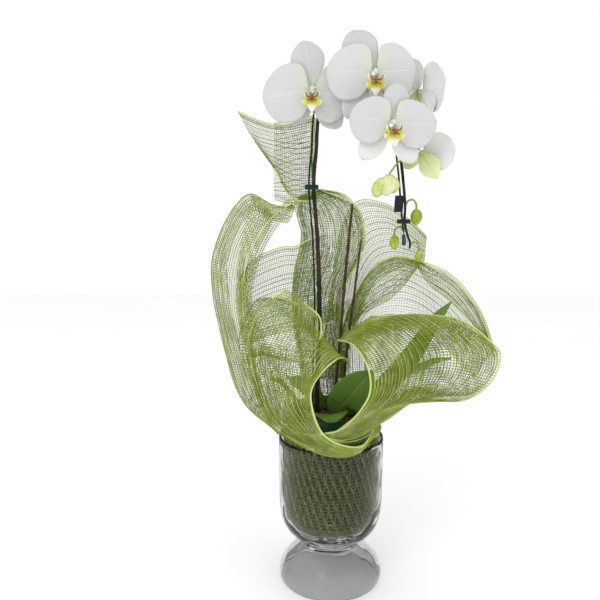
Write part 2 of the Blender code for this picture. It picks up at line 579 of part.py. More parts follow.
def plant():
    """Leaves, spike, open flowers and buds."""
    for name, (centre_line, half_widths, across) in LEAVES.items():
        leaf(name, centre_line, half_widths, across)
    spike()
    for name, layout in FLOWERS.items():
        flower(name, layout, FLOWER_PETAL_WIDTH[name])
    for name, (centre, sizes) in BUDS.items():
        place(name, ball_mesh(centre, sizes), "bud_green")
    fuse("bud_half_open", [ball_mesh(*lobe) for lobe in HALF_BUD_LOBES], "bud_pale")


def supports():
    """Wire with its cap, clips, tag and sticks."""
    place("support_wire", tube_mesh(WIRE_ROUTE, (WIRE_RADIUS, WIRE_RADIUS), 6, 40), "wire_dark")
    place("wire_cap", tube_mesh(CAP_ROUTE, CAP_RADII, 8, 6), "cap_rubber")
    for name, (centre, half_length, half_width, height) in CLIPS.items():
        clip(name, centre, half_length, half_width, height)
    tag()
    for name, route, radius in zip(("stick_tall", "stick_short"), STICK_ROUTES, STICK_RADIUS):
        place(name, tube_mesh(route, (radius, radius), 6, 10), "stick_brown")


def clear_scene():
    for item in list(bpy.data.objects):
        bpy.data.objects.remove(item, do_unlink=True)


clear_scene()
vase_and_pot()
plant()
supports()
for ribbon_name, ribbon_rails in RIBBONS.items():
    ribbon(ribbon_name, ribbon_rails)
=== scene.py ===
import math

import bpy
import numpy as np
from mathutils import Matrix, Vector


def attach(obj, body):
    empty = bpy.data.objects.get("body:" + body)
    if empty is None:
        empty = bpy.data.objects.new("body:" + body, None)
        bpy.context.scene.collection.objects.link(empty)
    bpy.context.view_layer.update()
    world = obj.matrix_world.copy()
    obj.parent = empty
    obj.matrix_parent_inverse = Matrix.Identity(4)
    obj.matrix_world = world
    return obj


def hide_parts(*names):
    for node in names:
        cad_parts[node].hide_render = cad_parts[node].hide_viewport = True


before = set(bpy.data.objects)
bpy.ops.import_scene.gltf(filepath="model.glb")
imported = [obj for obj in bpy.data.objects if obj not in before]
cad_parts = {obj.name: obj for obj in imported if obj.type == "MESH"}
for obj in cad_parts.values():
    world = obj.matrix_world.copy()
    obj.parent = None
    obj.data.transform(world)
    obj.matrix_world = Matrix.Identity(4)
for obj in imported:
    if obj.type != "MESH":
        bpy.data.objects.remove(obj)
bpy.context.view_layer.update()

vaseAxis = np.array((-0.0364, -0.0009, 0.0))  # where the vase stands in the whole object's box
print("frame loaded")


# shape helpers: all points are measured from the vase's axis, and newPiece moves them into place


def unit(v):
    return v / np.maximum(np.linalg.norm(v, axis=-1, keepdims=True), 1e-12)


def splineAt(points, at):
    # at runs from 0 to the last point's number
    k = np.array(points, dtype=float)
    line = np.concatenate([2 * k[:1] - k[1:2], k, 2 * k[-1:] - k[-2:-1]])
    at = np.asarray(at, dtype=float)
    i = np.clip(at.astype(int), 0, len(k) - 2)
    t = (at - i).reshape((-1,) + (1,) * (k.ndim - 1))
    a, b, c, d = (line[i + n] for n in range(4))
    return 0.5 * (2 * b + (c - a) * t + (2 * a - 5 * b + 4 * c - d) * t**2
                  + (3 * b - a - 3 * c + d) * t**3)


def spline(points, count):
    return splineAt(points, np.linspace(0, len(points) - 1, count))


def evenly(points, count):
    # points along the same curve, the same distance apart
    fine = spline(points, 40 * len(points))
    run = np.concatenate([[0], np.cumsum(np.linalg.norm(np.diff(fine, axis=0), axis=1))])
    want = np.linspace(0, run[-1], count)
    return np.stack([np.interp(want, run, fine[:, k]) for k in range(3)], axis=1)


def quads(*corners):
    # faces from arrays of their first, second, third and fourth points
    return np.stack(corners, axis=-1).reshape(-1, 4).tolist()


def newObject(name, data):
    made = bpy.data.objects.new(name, data)
    bpy.context.scene.collection.objects.link(made)
    return made


def newPiece(name, form, material, node=None, uvName="sheetUv", smooth=True):
    # form is vertices and faces, and uvs where the material lies along them
    verts, faces, uvs = (*form, None)[:3]
    mesh = bpy.data.meshes.new(name)
    mesh.from_pydata((np.asarray(verts) + vaseAxis).tolist(), [], faces)
    if uvs is not None:
        layer = mesh.uv_layers.new(name=uvName)
        corner = np.empty(len(mesh.loops), dtype=np.int32)
        mesh.loops.foreach_get("vertex_index", corner)
        layer.data.foreach_set("uv", np.asarray(uvs, dtype=np.float32)[corner].ravel())
    mesh.polygons.foreach_set("use_smooth", [smooth] * len(mesh.polygons))
    mesh.materials.append(material)
    mesh.validate()
    piece = newObject(name, mesh)
    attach(piece, "root")
    if node:
        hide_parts(node)
    return piece


def joined(parts):
    # several lots of vertices, faces and uvs as one
    verts, faces, uvs, start = [], [], [], 0
    for part in parts:
        verts.append(part[0])
        faces += [tuple(i + start for i in face) for face in part[1]]
        uvs += part[2:]
        start += len(part[0])
    return np.concatenate(verts), faces, np.concatenate(uvs) if uvs else None


def sheetSolid(grid, thickness):
    # closed thin solid either side of a grid of points, with the grid as its uv
    points = np.array(grid)
    rows, cols = points.shape[:2]
    normal = unit(np.cross(np.gradient(points, axis=0), np.gradient(points, axis=1)))
    half = np.asarray(thickness, dtype=float) * 0.5
    half = half[..., None] if half.ndim else half
    verts = np.concatenate([(points + normal * way * half).reshape(-1, 3) for way in (1, -1)])
    below = rows * cols
    ids = np.arange(below).reshape(rows, cols)
    a, b, c, d = ids[:-1, :-1], ids[:-1, 1:], ids[1:, 1:], ids[1:, :-1]
    faces = quads(a, d, c, b)
    faces += quads(a + below, b + below, c + below, d + below)
    edge = [int(i) for i in (*ids[:, 0], *ids[-1, 1:], *ids[-2::-1, -1], *ids[0, -2:0:-1])]
    faces += [(two, one, one + below, two + below) for one, two in zip(edge, edge[1:] + edge[:1])]
    u, v = np.meshgrid(np.linspace(0, 1, rows), np.linspace(0, 1, cols), indexing="ij")
    uv = np.stack([u, v], axis=-1).reshape(-1, 2)
    return verts, faces, np.concatenate([uv, uv])


def tube(route, radii, sides=16, rings=60, lumps=0.0):
    # round stalk along a smooth route, with rounded ends; uv runs along it and round it
    centres = evenly(route, rings)
    length = np.sum(np.linalg.norm(np.diff(centres, axis=0), axis=1))
    s = np.linspace(0, 1, rings)
    sizes = np.interp(s, np.linspace(0, 1, len(radii)), radii)
    cap = np.minimum(s, 1 - s) * length / sizes
    sizes = sizes * np.sqrt(np.clip(1 - (1 - np.clip(cap, 0, 1)) ** 2, 0.05, 1))
    if lumps:
        sizes = sizes * (1 + lumps * np.sin(s * length * 310 + 1.7) * np.sin(s * length * 97))
    ahead = unit(np.gradient(centres, axis=0))
    guide = np.array((0.31, 0.95, 0.05))
    turn = np.arange(sides) * math.tau / sides
    verts, uvs = [], []
    for i in range(rings):
        guide = guide - ahead[i] * guide.dot(ahead[i])
        guide /= np.linalg.norm(guide)
        other = np.cross(ahead[i], guide)
        verts.append(centres[i] + (np.cos(turn)[:, None] * guide + np.sin(turn)[:, None] * other) * sizes[i])
        uvs.append(np.stack([np.full(sides, s[i]), np.arange(sides) / sides], axis=1))
    ids = np.arange(rings * sides).reshape(rings, sides)
    after = np.roll(ids, -1, axis=1)
    faces = quads(ids[:-1], after[:-1], after[1:], ids[1:])
    faces += [ids[0, ::-1].tolist(), ids[-1].tolist()]
    return np.concatenate(verts), faces, np.concatenate(uvs)


def turned(profile, steps, wobble=0.0):
    # closed solid turned about the axis from a profile of radius and height
    ring = np.array(profile, dtype=float)
    after = np.roll(ring, -1, axis=0)
    if np.sum(ring[:, 0] * after[:, 1] - after[:, 0] * ring[:, 1]) < 0:
        ring = ring[::-1]
    onAxis = ring[:, 0] < 1e-6
    verts, ids = [], []
    for k, (radius, height) in enumerate(ring):
        if onAxis[k]:
            ids.append([len(verts)] * steps)
            verts.append((0.0, 0.0, height))
            continue
        ids.append(list(range(len(verts), len(verts) + steps)))
        for j in range(steps):
            turn = math.tau * j / steps
            r = radius * (1 + wobble * math.sin(3 * turn + height * 40))
            verts.append((r * math.cos(turn), r * math.sin(turn), height))
    faces = []
    pairs = list(zip(ids, ids[1:]))
    if not (onAxis[0] and onAxis[-1]):
        pairs.append((ids[-1], ids[0]))
    for low, high in pairs:
        for j in range(steps):
            n = (j + 1) % steps
            face = [low[j], low[n], high[n], high[j]]
            face = [v for i, v in enumerate(face) if v != face[i - 1]]
            if len(face) > 2:
                faces.append(face)
    return verts, faces


def eggForm(centre, sizes, rows, cols, swell=None):
    # upright egg; swell changes the radius from top to bottom
    middle = np.array(centre)
    turns = np.linspace(0, math.tau, cols, endpoint=False)
    verts, uvs = [middle + (0, 0, sizes[2])], [(0.0, 0.0)]
    for i, down in enumerate(np.linspace(0, math.pi, rows)[1:-1], start=1):
        grow = swell(i / (rows - 1)) if swell else 1.0
        for j, turn in enumerate(turns):
            verts.append(middle + (sizes[0] * grow * math.sin(down) * math.cos(turn),
                                   sizes[1] * grow * math.sin(down) * math.sin(turn),
                                   sizes[2] * math.cos(down)))
            uvs.append((i / (rows - 1), j / cols))
    verts.append(middle - (0, 0, sizes[2]))
    uvs.append((1.0, 0.0))
    last = len(verts) - 1
    rings = np.arange(1, last).reshape(rows - 2, cols)
    after = np.roll(rings, -1, axis=1)
    faces = quads(rings[:-1], rings[1:], after[1:], after[:-1])
    faces += [(0, one, two) for one, two in zip(rings[0].tolist(), after[0].tolist())]
    faces += [(last, two, one) for one, two in zip(rings[-1].tolist(), after[-1].tolist())]
    return np.array(verts), faces, np.array(uvs)


# shader helpers

fineGrain = {"bump": 0.0001, "grain": 900.0}
surface = {"mottleRange": (0.36, 0.64), "grainStrength": 0.6, "veinRange": (0.45, 1.0), "ridgeStrength": 0.5}


def feed(tree, node, inputs):
    # each input takes another node's output, a colour or a number
    for key, value in inputs.items():
        if hasattr(value, "links"):
            tree.links.new(value, node.inputs[key])
        elif value is not None:
            node.inputs[key].default_value = (*value, 1) if isinstance(value, tuple) else value


def addNode(tree, kind, inputs=None, **settings):
    node = tree.nodes.new(kind)
    for key, value in settings.items():
        setattr(node, key, value)
    feed(tree, node, inputs or {})
    return node


def newGroup(name, inputs, outputs):
    group = bpy.data.node_groups.new(name, "ShaderNodeTree")
    for label, value in inputs.items():
        kind = "NodeSocketFloat" if isinstance(value, float) else "NodeSocketColor"
        group.interface.new_socket(label, in_out="INPUT", socket_type=kind).default_value = value
    for label, kind in outputs.items():
        group.interface.new_socket(label, in_out="OUTPUT", socket_type=kind)
    return group, addNode(group, "NodeGroupInput").outputs, addNode(group, "NodeGroupOutput")


def mathNode(tree, operation, a, b=None, clamp=False):
    return addNode(tree, "ShaderNodeMath", {0: a, 1: b}, operation=operation, use_clamp=clamp).outputs[0]


def mixNode(tree, factor, a, b):
    return addNode(tree, "ShaderNodeMix", {0: factor, 6: a, 7: b}, data_type="RGBA").outputs[2]


def ramp(tree, value, low, high):
    # 0 below low, 1 above high
    return addNode(tree, "ShaderNodeMapRange", {"Value": value, "From Min": low, "From Max": high},
                   interpolation_type="SMOOTHSTEP").outputs["Result"]


def noiseNode(tree, place, scale, detail=2.0):
    node = addNode(tree, "ShaderNodeTexNoise", {"Vector": place, "Scale": scale, "Detail": detail})
    return node.outputs["Fac"]


def objectPlace(tree):
    return addNode(tree, "ShaderNodeTexCoord").outputs["Object"]


def makeMottle():
    # patches of a second colour, as every grown or moulded surface has; on the gold foil and the buds they
    # also serve as painted glints and painted shade
    group, ins, outs = newGroup("mottle", {
        "Colour": (0.5, 0.5, 0.5, 1), "Patch Colour": (0.4, 0.4, 0.4, 1), "Scale": 30.0, "Amount": 0.5,
    }, {"Colour": "NodeSocketColor"})
    noise = noiseNode(group, objectPlace(group), ins["Scale"], 5.0)
    amount = mathNode(group, "MULTIPLY", ramp(group, noise, *surface["mottleRange"]), ins["Amount"])
    feed(group, outs, {"Colour": mixNode(group, amount, ins["Colour"], ins["Patch Colour"])})
    return group


def makeVeins():
    # fine lines that run the length of a blade and spread with its width, and a stronger one in the middle
    group, ins, outs = newGroup("veins", {"Count": 16.0, "Waver": 0.03, "Midrib": 0.02}, {
        "Lines": "NodeSocketFloat", "Middle": "NodeSocketFloat", "Along": "NodeSocketFloat"})
    uv = addNode(group, "ShaderNodeUVMap", uv_map="sheetUv").outputs["UV"]
    split = addNode(group, "ShaderNodeSeparateXYZ", {"Vector": uv}).outputs
    shift = mathNode(group, "SUBTRACT", noiseNode(group, uv, 5.0), 0.5)
    across = mathNode(group, "ADD", split["Y"], mathNode(group, "MULTIPLY", shift, ins["Waver"]))
    turns = mathNode(group, "MULTIPLY", ins["Count"], math.tau)
    wave = mathNode(group, "SINE", mathNode(group, "MULTIPLY", across, turns))
    fromMiddle = mathNode(group, "ABSOLUTE", mathNode(group, "SUBTRACT", across, 0.5))
    near = mathNode(group, "DIVIDE", fromMiddle, ins["Midrib"])
    feed(group, outs, {"Lines": ramp(group, wave, *surface["veinRange"]), "Along": split["X"],
                       "Middle": mathNode(group, "SUBTRACT", 1.0, near, clamp=True)})
    return group


mottle = makeMottle()
veins = makeVeins()


def newMaterial(name):
    made = bpy.data.materials.new(name)
    made.use_nodes = True
    return made, made.node_tree, made.node_tree.nodes["Principled BSDF"]


def mottled(name, look):
    # a material with mottled colour and a fine surface bump; look holds its numbers
    made, tree, shader = newMaterial(name)
    colour = addNode(tree, "ShaderNodeGroup", node_tree=mottle)
    feed(tree, colour, {"Colour": look["colour"], "Patch Colour": look["patch"], "Scale": look["scale"],
                        "Amount": look["amount"]})
    feed(tree, shader, {"Roughness": look["roughness"], "Base Color": colour.outputs["Colour"],
                        **look.get("sockets", {})})
    if "bump" in look:
        grain = noiseNode(tree, objectPlace(tree), look["grain"], 3.0)
        bump = addNode(tree, "ShaderNodeBump", {
            "Distance": look["bump"], "Strength": surface["grainStrength"], "Height": grain})
        feed(tree, shader, {"Normal": bump.outputs["Normal"]})
    return made, tree, shader, colour.outputs["Colour"]


def newFinish(name, look):
    return mottled(name, look)[0]


def bladeFinish(name, look):
    # petal or leaf finish: veins, a midrib, and another colour near its foot
    made, tree, shader, colour = mottled(name, look)
    lines = addNode(tree, "ShaderNodeGroup", node_tree=veins)
    feed(tree, lines, {"Count": look["veinCount"], "Midrib": look["midrib"]})
    lines = lines.outputs
    foot = ramp(tree, lines["Along"], look["footEnd"], 0.0)
    for where, mark in ((lines["Lines"], "vein"), (lines["Middle"], "midrib"), (foot, "foot")):
        strength = mathNode(tree, "MULTIPLY", where, look[mark + "Strength"])
        colour = mixNode(tree, strength, colour, look[mark + "Colour"])
    ridge = mathNode(tree, "MULTIPLY", lines["Middle"], look["midribHeight"])
    height = mathNode(tree, "ADD", lines["Lines"], ridge)
    bump = addNode(tree, "ShaderNodeBump", {
        "Strength": surface["ridgeStrength"], "Distance": look["veinHeight"], "Height": height,
        "Normal": shader.inputs["Normal"].links[0].from_socket})
    feed(tree, shader, {"Base Color": colour, "Normal": bump.outputs["Normal"]})
    return made


# the scene around it: pale floor, white surroundings, soft lamps and the camera

studio = {
    "cameraPlace": (-0.0779, -0.8039, 0.492), "cameraPitch": 7.8, "lens": 37.2,
    "floorHalf": 3.0, "floorGlow": 0.14, "backdrop": 1.0, "surroundings": 0.9, "mirrored": 0.36,
    "floorLook": {"colour": (0.95, 0.95, 0.95), "patch": (0.91, 0.91, 0.91), "scale": 3.0, "amount": 0.5,
                  "roughness": 0.9},
    "lampAim": (0, 0, 0.38),
    "lamps": {"keyLamp": ((-0.9, -1.5, 1.9), 12.0, 1.1), "fillLamp": ((1.4, -0.7, 1.1), 3.0, 1.2)},
}


def areaLight(name, place, power, size):
    data = bpy.data.lights.new(name, "AREA")
    data.energy = power
    data.size = size
    lamp = newObject(name, data)
    lamp.location = place
    aim = Vector(studio["lampAim"]) - Vector(place)
    lamp.rotation_euler = aim.to_track_quat("-Z", "Y").to_euler()


def makeFloor():
    half = studio["floorHalf"]
    mesh = bpy.data.meshes.new("paleFloor")
    mesh.from_pydata([(-half, -half, 0), (half, -half, 0), (half, half, 0), (-half, half, 0)], [],
                     [(0, 1, 2, 3)])
    finish, tree, shader, _ = mottled("paleFloor", studio["floorLook"])
    feed(tree, shader, {"Emission Color": (1, 1, 1), "Emission Strength": studio["floorGlow"]})
    mesh.materials.append(finish)
    newObject("paleFloor", mesh)


def makeSurroundings():
    # full white behind the object and for soft light, greyer where glass and gold mirror it
    world = bpy.data.worlds.new("whiteSurroundings")
    world.use_nodes = True
    tree = world.node_tree
    path = addNode(tree, "ShaderNodeLightPath").outputs
    base = studio["mirrored"]
    lit = mathNode(tree, "MULTIPLY", path["Is Diffuse Ray"], studio["surroundings"] - base)
    shown = mathNode(tree, "MULTIPLY", path["Is Camera Ray"], studio["backdrop"] - base)
    strength = mathNode(tree, "ADD", mathNode(tree, "ADD", lit, shown), base)
    feed(tree, tree.nodes["Background"], {"Strength": strength, "Color": (1, 1, 1)})
    bpy.context.scene.world = world


def makeCamera():
    data = bpy.data.cameras.new("viewCamera")
    data.lens = studio["lens"]
    data.clip_start = 0.01
    camera = newObject("viewCamera", data)
    camera.location = studio["cameraPlace"]
    camera.rotation_euler = (math.radians(90 - studio["cameraPitch"]), 0, 0)
    bpy.context.scene.camera = camera
    bpy.context.scene.view_settings.view_transform = "Standard"


makeFloor()
makeSurroundings()
for lampName, lampSettings in studio["lamps"].items():
    areaLight(lampName, *lampSettings)
makeCamera()
print("floor, lamps and camera ready")


# the vase: clear blown glass with a footed base, hollow below; profiles are radius and height

vase = {
    "outer": (
        (0.0664, 0.1975), (0.0668, 0.1990), (0.0678, 0.2000), (0.0690, 0.2000), (0.0699, 0.1990),
        (0.0702, 0.1965), (0.0702, 0.1700), (0.0701, 0.1500), (0.0700, 0.1350), (0.0698, 0.1200),
        (0.0692, 0.1080), (0.0684, 0.0970), (0.0668, 0.0890), (0.0643, 0.0810), (0.0606, 0.0740),
        (0.0560, 0.0685), (0.0505, 0.0640), (0.0448, 0.0604), (0.0390, 0.0575), (0.0353, 0.0550),
        (0.0340, 0.0520), (0.0346, 0.0491), (0.0370, 0.0465), (0.0425, 0.0436), (0.0490, 0.0400),
        (0.0550, 0.0359), (0.0600, 0.0310), (0.0641, 0.0256), (0.0672, 0.0200), (0.0690, 0.0148),
        (0.0695, 0.0100), (0.0693, 0.0062), (0.0688, 0.0035), (0.0678, 0.0010), (0.0662, 0.0000),
    ),
    "under": (
        (0.0628, 0.0000), (0.0618, 0.0012), (0.0612, 0.0060), (0.0590, 0.0115), (0.0560, 0.0165),
        (0.0518, 0.0212), (0.0470, 0.0255), (0.0350, 0.0340), (0.0220, 0.0400), (0.0100, 0.0425),
        (0.0000, 0.0430),
    ),
    "inner": (
        (0.0000, 0.0660), (0.0100, 0.0661), (0.0200, 0.0666), (0.0310, 0.0679), (0.0410, 0.0700),
        (0.0480, 0.0730), (0.0540, 0.0775), (0.0588, 0.0830), (0.0620, 0.0895), (0.0640, 0.0980),
        (0.0650, 0.1080), (0.0657, 0.1200), (0.0660, 0.1350), (0.0661, 0.1500), (0.0662, 0.1700),
        (0.0663, 0.1900),
    ),
    "steps": 128, "colour": (0.635, 0.648, 0.635), "ior": 1.48, "mirrorTint": (0.38, 0.40, 0.38),
    "ripple": 0.010, "rippleScale": 30.0, "rippleStrength": 0.3, "smear": 9.0, "smearRange": (0.45, 0.75),
    "smearRoughness": 0.02, "shadow": (0.9, 0.93, 0.92),
}


def glassFinish():
    made, tree, shader = newMaterial("blownGlass")
    place = objectPlace(tree)
    least, most = vase["smearRange"]
    rough = addNode(tree, "ShaderNodeMapRange", {
        "Value": noiseNode(tree, place, vase["smear"]), "From Min": least, "From Max": most,
        "To Max": vase["smearRoughness"]})
    ripple = noiseNode(tree, place, vase["rippleScale"], 1.0)
    bump = addNode(tree, "ShaderNodeBump", {
        "Strength": vase["rippleStrength"], "Distance": vase["ripple"], "Height": ripple})
    feed(tree, shader, {
        "Base Color": vase["colour"], "IOR": vase["ior"], "Specular Tint": vase["mirrorTint"],
        "Transmission Weight": 1.0, "Roughness": rough.outputs["Result"], "Normal": bump.outputs["Normal"]})
    # light passes to what stands inside and behind
    clear = addNode(tree, "ShaderNodeBsdfTransparent", {"Color": vase["shadow"]})
    mix = addNode(tree, "ShaderNodeMixShader", {
        0: addNode(tree, "ShaderNodeLightPath").outputs["Is Shadow Ray"], 1: shader.outputs["BSDF"],
        2: clear.outputs["BSDF"]})
    feed(tree, tree.nodes["Material Output"], {"Surface": mix.outputs["Shader"]})
    return made


newPiece("glassVase", turned(vase["inner"] + vase["outer"] + vase["under"], vase["steps"]), glassFinish(),
         "glass_vase")
print("vase turned")


# the net ribbon: fine strands both ways, bright selvages and gold strands, one set for each loop

net = {
    # loops of their own, then those that rest on the vase
    "pitch": (0.0024, 0.0031), "strand": (0.00058, 0.00076), "gold": (0.0009, 0.0012),
    "step": 0.0055, "sides": 3, "loose": (0.002, 0.002), "waver": 0.02, "ripple": 0.00030, "scatter": 0.08,
    "hornSelvage": 0.0024, "selvage": 0.0017, "selvageDepth": 0.0009, "selvageStep": 0.004,
    "goldPitch": 0.0062, "goldNearEdge": (0.0036, 0.0062), "goldDepth": 0.00024, "goldStep": 0.0034,
    "goldTwist": 0.28, "extraGoldUpTo": 0.25, "fewestWarps": 4, "seed": 20, "seedStep": 50,
}
netLook = {"colour": (0.215, 0.305, 0.026), "patch": (0.34, 0.435, 0.060), "scale": 34.0, "amount": 0.7,
           "roughness": 0.5, "sockets": {"Specular IOR Level": 0.12}}
selvageLook = {"colour": (0.56, 0.68, 0.20), "patch": (0.70, 0.78, 0.34), "scale": 60.0, "amount": 0.6,
               "roughness": 0.35}
# lit copy of the gold foil for the front ribbons: pale, nearly white yellow with dark patches, painted
# highlights and glints in place of its reflections
goldGlintLook = {"colour": (1.0, 0.97, 0.58), "patch": (0.46, 0.48, 0.10), "scale": 70.0, "amount": 1.0,
            "roughness": 0.25, "sockets": {"Metallic": 0.1}}
# the same foil as painted shade, for the ribbons that do not rest on the vase: dark, with lighter patches as
# painted glints
shadedFoilLook = {"colour": (0.060, 0.085, 0.010), "patch": (0.42, 0.46, 0.10), "scale": 90.0, "amount": 0.8,
            "roughness": 0.30, "sockets": {"Metallic": 1.0}}
netFinish = newFinish("greenNet", netLook)
selvageFinish = newFinish("brightSelvage", selvageLook)
goldGlintFinish = newFinish("goldStrandPaintedGlint", goldGlintLook)
shadedFoilFinish = newFinish("shadedFoilStrand", shadedFoilLook)


# radians a metre along and across a cloth, then how the main ripple sways and how high the others are
ripples = {"main": (71, 52, 23, 2.0), "slanting": ((133, 47, 0.6), (-39, 118, 0.5))}


class Cloth:
    # the smooth surface that a ribbon's strands follow, from its selvage rails

    def __init__(self, rails, ripple, seed):
        self.rails = [np.array(rail, dtype=float) for rail in rails]
        self.ripple = ripple
        self.phase = np.random.default_rng(seed).uniform(0, math.tau, 8)
        coarse = self.raw(np.linspace(0, 1, 90), np.linspace(0, 1, 25))
        run = np.linalg.norm(np.diff(coarse, axis=0), axis=2).mean(axis=1)
        over = np.linalg.norm(np.diff(coarse, axis=1), axis=2).mean(axis=0)
        self.length, self.width = run.sum(), over.sum()
        self.u = np.concatenate([[0], np.cumsum(run)]) / self.length
        self.v = np.concatenate([[0], np.cumsum(over)]) / self.width

    def raw(self, u, v):
        lines = np.stack([splineAt(rail, u * (len(rail) - 1)) for rail in self.rails])
        return splineAt(lines, v * (len(lines) - 1)).transpose(1, 0, 2)

    def at(self, u, v):
        # points and normals at every u and v, which are shares of the length and the width
        uu = np.interp(u, self.u, np.linspace(0, 1, len(self.u)))
        vv = np.interp(v, self.v, np.linspace(0, 1, len(self.v)))
        points = self.raw(uu, vv)
        small = 1e-3
        du = self.raw(np.clip(uu + small, 0, 1), vv) - self.raw(np.clip(uu - small, 0, 1), vv)
        dv = self.raw(uu, np.clip(vv + small, 0, 1)) - self.raw(uu, np.clip(vv - small, 0, 1))
        normals = unit(np.cross(du, dv))
        s, t = np.meshgrid(u * self.length, v * self.width, indexing="ij")
        p = self.phase
        along, over, bend, sway = ripples["main"]
        wave = np.sin(s * along + p[0] + sway * np.sin(t * bend + p[1])) * np.sin(t * over + p[2])
        for (along, over, height), phase in zip(ripples["slanting"], p[3:]):
            wave = wave + height * np.sin(s * along + t * over + phase)
        return points + normals * (wave * self.ripple)[..., None], normals


def strands(paths, normals, width, depth, sides, uv, twist=None):
    # closed threads along paths, an array of thread, point and coordinate
    count, length = paths.shape[:2]
    ahead = unit(np.gradient(paths, axis=1))
    side = unit(np.cross(ahead, normals))
    up = np.cross(side, ahead)
    turn = np.arange(sides) * math.tau / sides + math.pi / sides
    a = np.cos(turn) * width * 0.5
    b = np.sin(turn) * depth * 0.5
    if twist is None:
        ring = side[:, :, None] * a[:, None] + up[:, :, None] * b[:, None]
    else:
        c, s = np.cos(twist)[..., None, None], np.sin(twist)[..., None, None]
        ring = (side[:, :, None] * (a[:, None] * c - b[:, None] * s)
                + up[:, :, None] * (a[:, None] * s + b[:, None] * c))
    verts = (paths[:, :, None] + ring).reshape(-1, 3)
    ids = np.arange(count * length * sides).reshape(count, length, sides)
    after = np.roll(ids, -1, axis=2)
    faces = quads(ids[:, :-1], ids[:, 1:], after[:, 1:], after[:, :-1])
    faces += ids[:, 0].tolist() + ids[:, -1, ::-1].tolist()
    # each strand lies as a strip on the map of its sheet
    u, v, du, dv = uv
    k = (np.arange(sides) + 0.5) / sides - 0.5
    uvs = np.stack(np.broadcast_arrays(u[..., None] + du * k, v[..., None] + dv * k), axis=-1)
    return verts, faces, np.clip(uvs.reshape(-1, 2), 0.002, 0.998)


def warpStrands(cloth, across, width, depth, sides, step, seed, twisted=0.0, loose=()):
    # strands that run the ribbon's length, at these shares of its width
    dice = np.random.default_rng(seed)
    count = max(8, round(cloth.length / step))
    u = np.linspace(0, 1, count)
    paths, normals = (found.transpose(1, 0, 2) for found in cloth.at(u, across))
    for end, inner, spare in zip((0, -1), (1, -2), loose):
        reach = dice.uniform(0.1, 1.0, (len(across), 1)) ** 2 * spare
        paths[:, end] += unit(paths[:, end] - paths[:, inner]) * reach
    twist = None
    if twisted:
        turns = np.cumsum(dice.uniform(-twisted, 1.3 * twisted, (len(across), count)), axis=1)
        twist = turns + dice.uniform(-0.4, 0.4, (len(across), 1))
    u, v = np.broadcast_arrays(u, across[:, None])
    return strands(paths, normals, width, depth, sides, (u, v, 0.0, width * 2 / cloth.width), twist)


def weftStrands(cloth, size, sides, step, pitch, waver, seed):
    # strands from selvage to selvage; they wander a little along the ribbon
    dice = np.random.default_rng(seed)
    count = max(6, round(cloth.length / pitch))
    rows = max(5, round(cloth.width / step))
    u, v = np.linspace(0, 1, count), np.linspace(0, 1, rows)
    points, normals = cloth.at(u, v)
    drift = dice.uniform(-1, 1, (count, 4)) @ np.array([np.ones(rows) * 0.4, np.sin(v * 5), np.cos(v * 9),
                                                        np.sin(v * 16 + 1)]) * waver
    drift[0] = drift[-1] = 0
    paths = points + np.gradient(points, axis=0) * drift[..., None]
    u, v = np.broadcast_arrays(u[:, None], v)
    return strands(paths, normals, size, size, sides, (u, v, size * 2 / cloth.length, 0.0))


def flatNetArea(cloth, warps, pitch, strand):
    # half the outline of a three-sided strand, along every strand of the flat cut before it is shaped
    wefts = round(cloth.length / pitch)
    return (warps * cloth.length + wefts * cloth.width) * strand * 1.5 * math.sin(math.pi / 3)


def offsetRails(rails, shifts, reach):
    # the same rails moved out from the cloth, for a ribbon folded back behind itself
    points, normals = Cloth(rails, 0.0, 0).at(np.linspace(0, 1, 9), np.array((0.0, 0.5, 1.0)) * reach)
    return [points[:, k] + normals[:, k] * shift for k, shift in enumerate(shifts)]


def ribbonLayers(ribbon):
    # a ribbon's folds, front one first, each as its rails in metres and the edges that have a selvage
    rails = [np.array(rail) / 1000 for rail in ribbon["rails"]]
    layers = [(rails, (0.0, 1.0))]
    for hems, reach, *shifts in ribbon.get("folds", ()):
        layers.append((offsetRails(rails, np.array(shifts) / 1000, reach), hems))
    for hems, *turn in ribbon.get("turns", ()):
        layers.append(([np.array(rail) / 1000 for rail in turn], hems))
    return layers


def goldPlaces(width, extra):
    # gold strands as shares of the width: near both selvages, between them, and more by the near one
    margin = [e / width for e in net["goldNearEdge"]]
    gap = net["goldPitch"] / width
    between = np.arange(margin[-1] + gap, 1 - margin[-1] - 0.3 * gap, gap)
    more = np.arange(margin[-1] + 0.5 * gap, net["extraGoldUpTo"], gap) if extra else ()
    return np.array([*margin, *between, *(1 - m for m in reversed(margin)), *more])


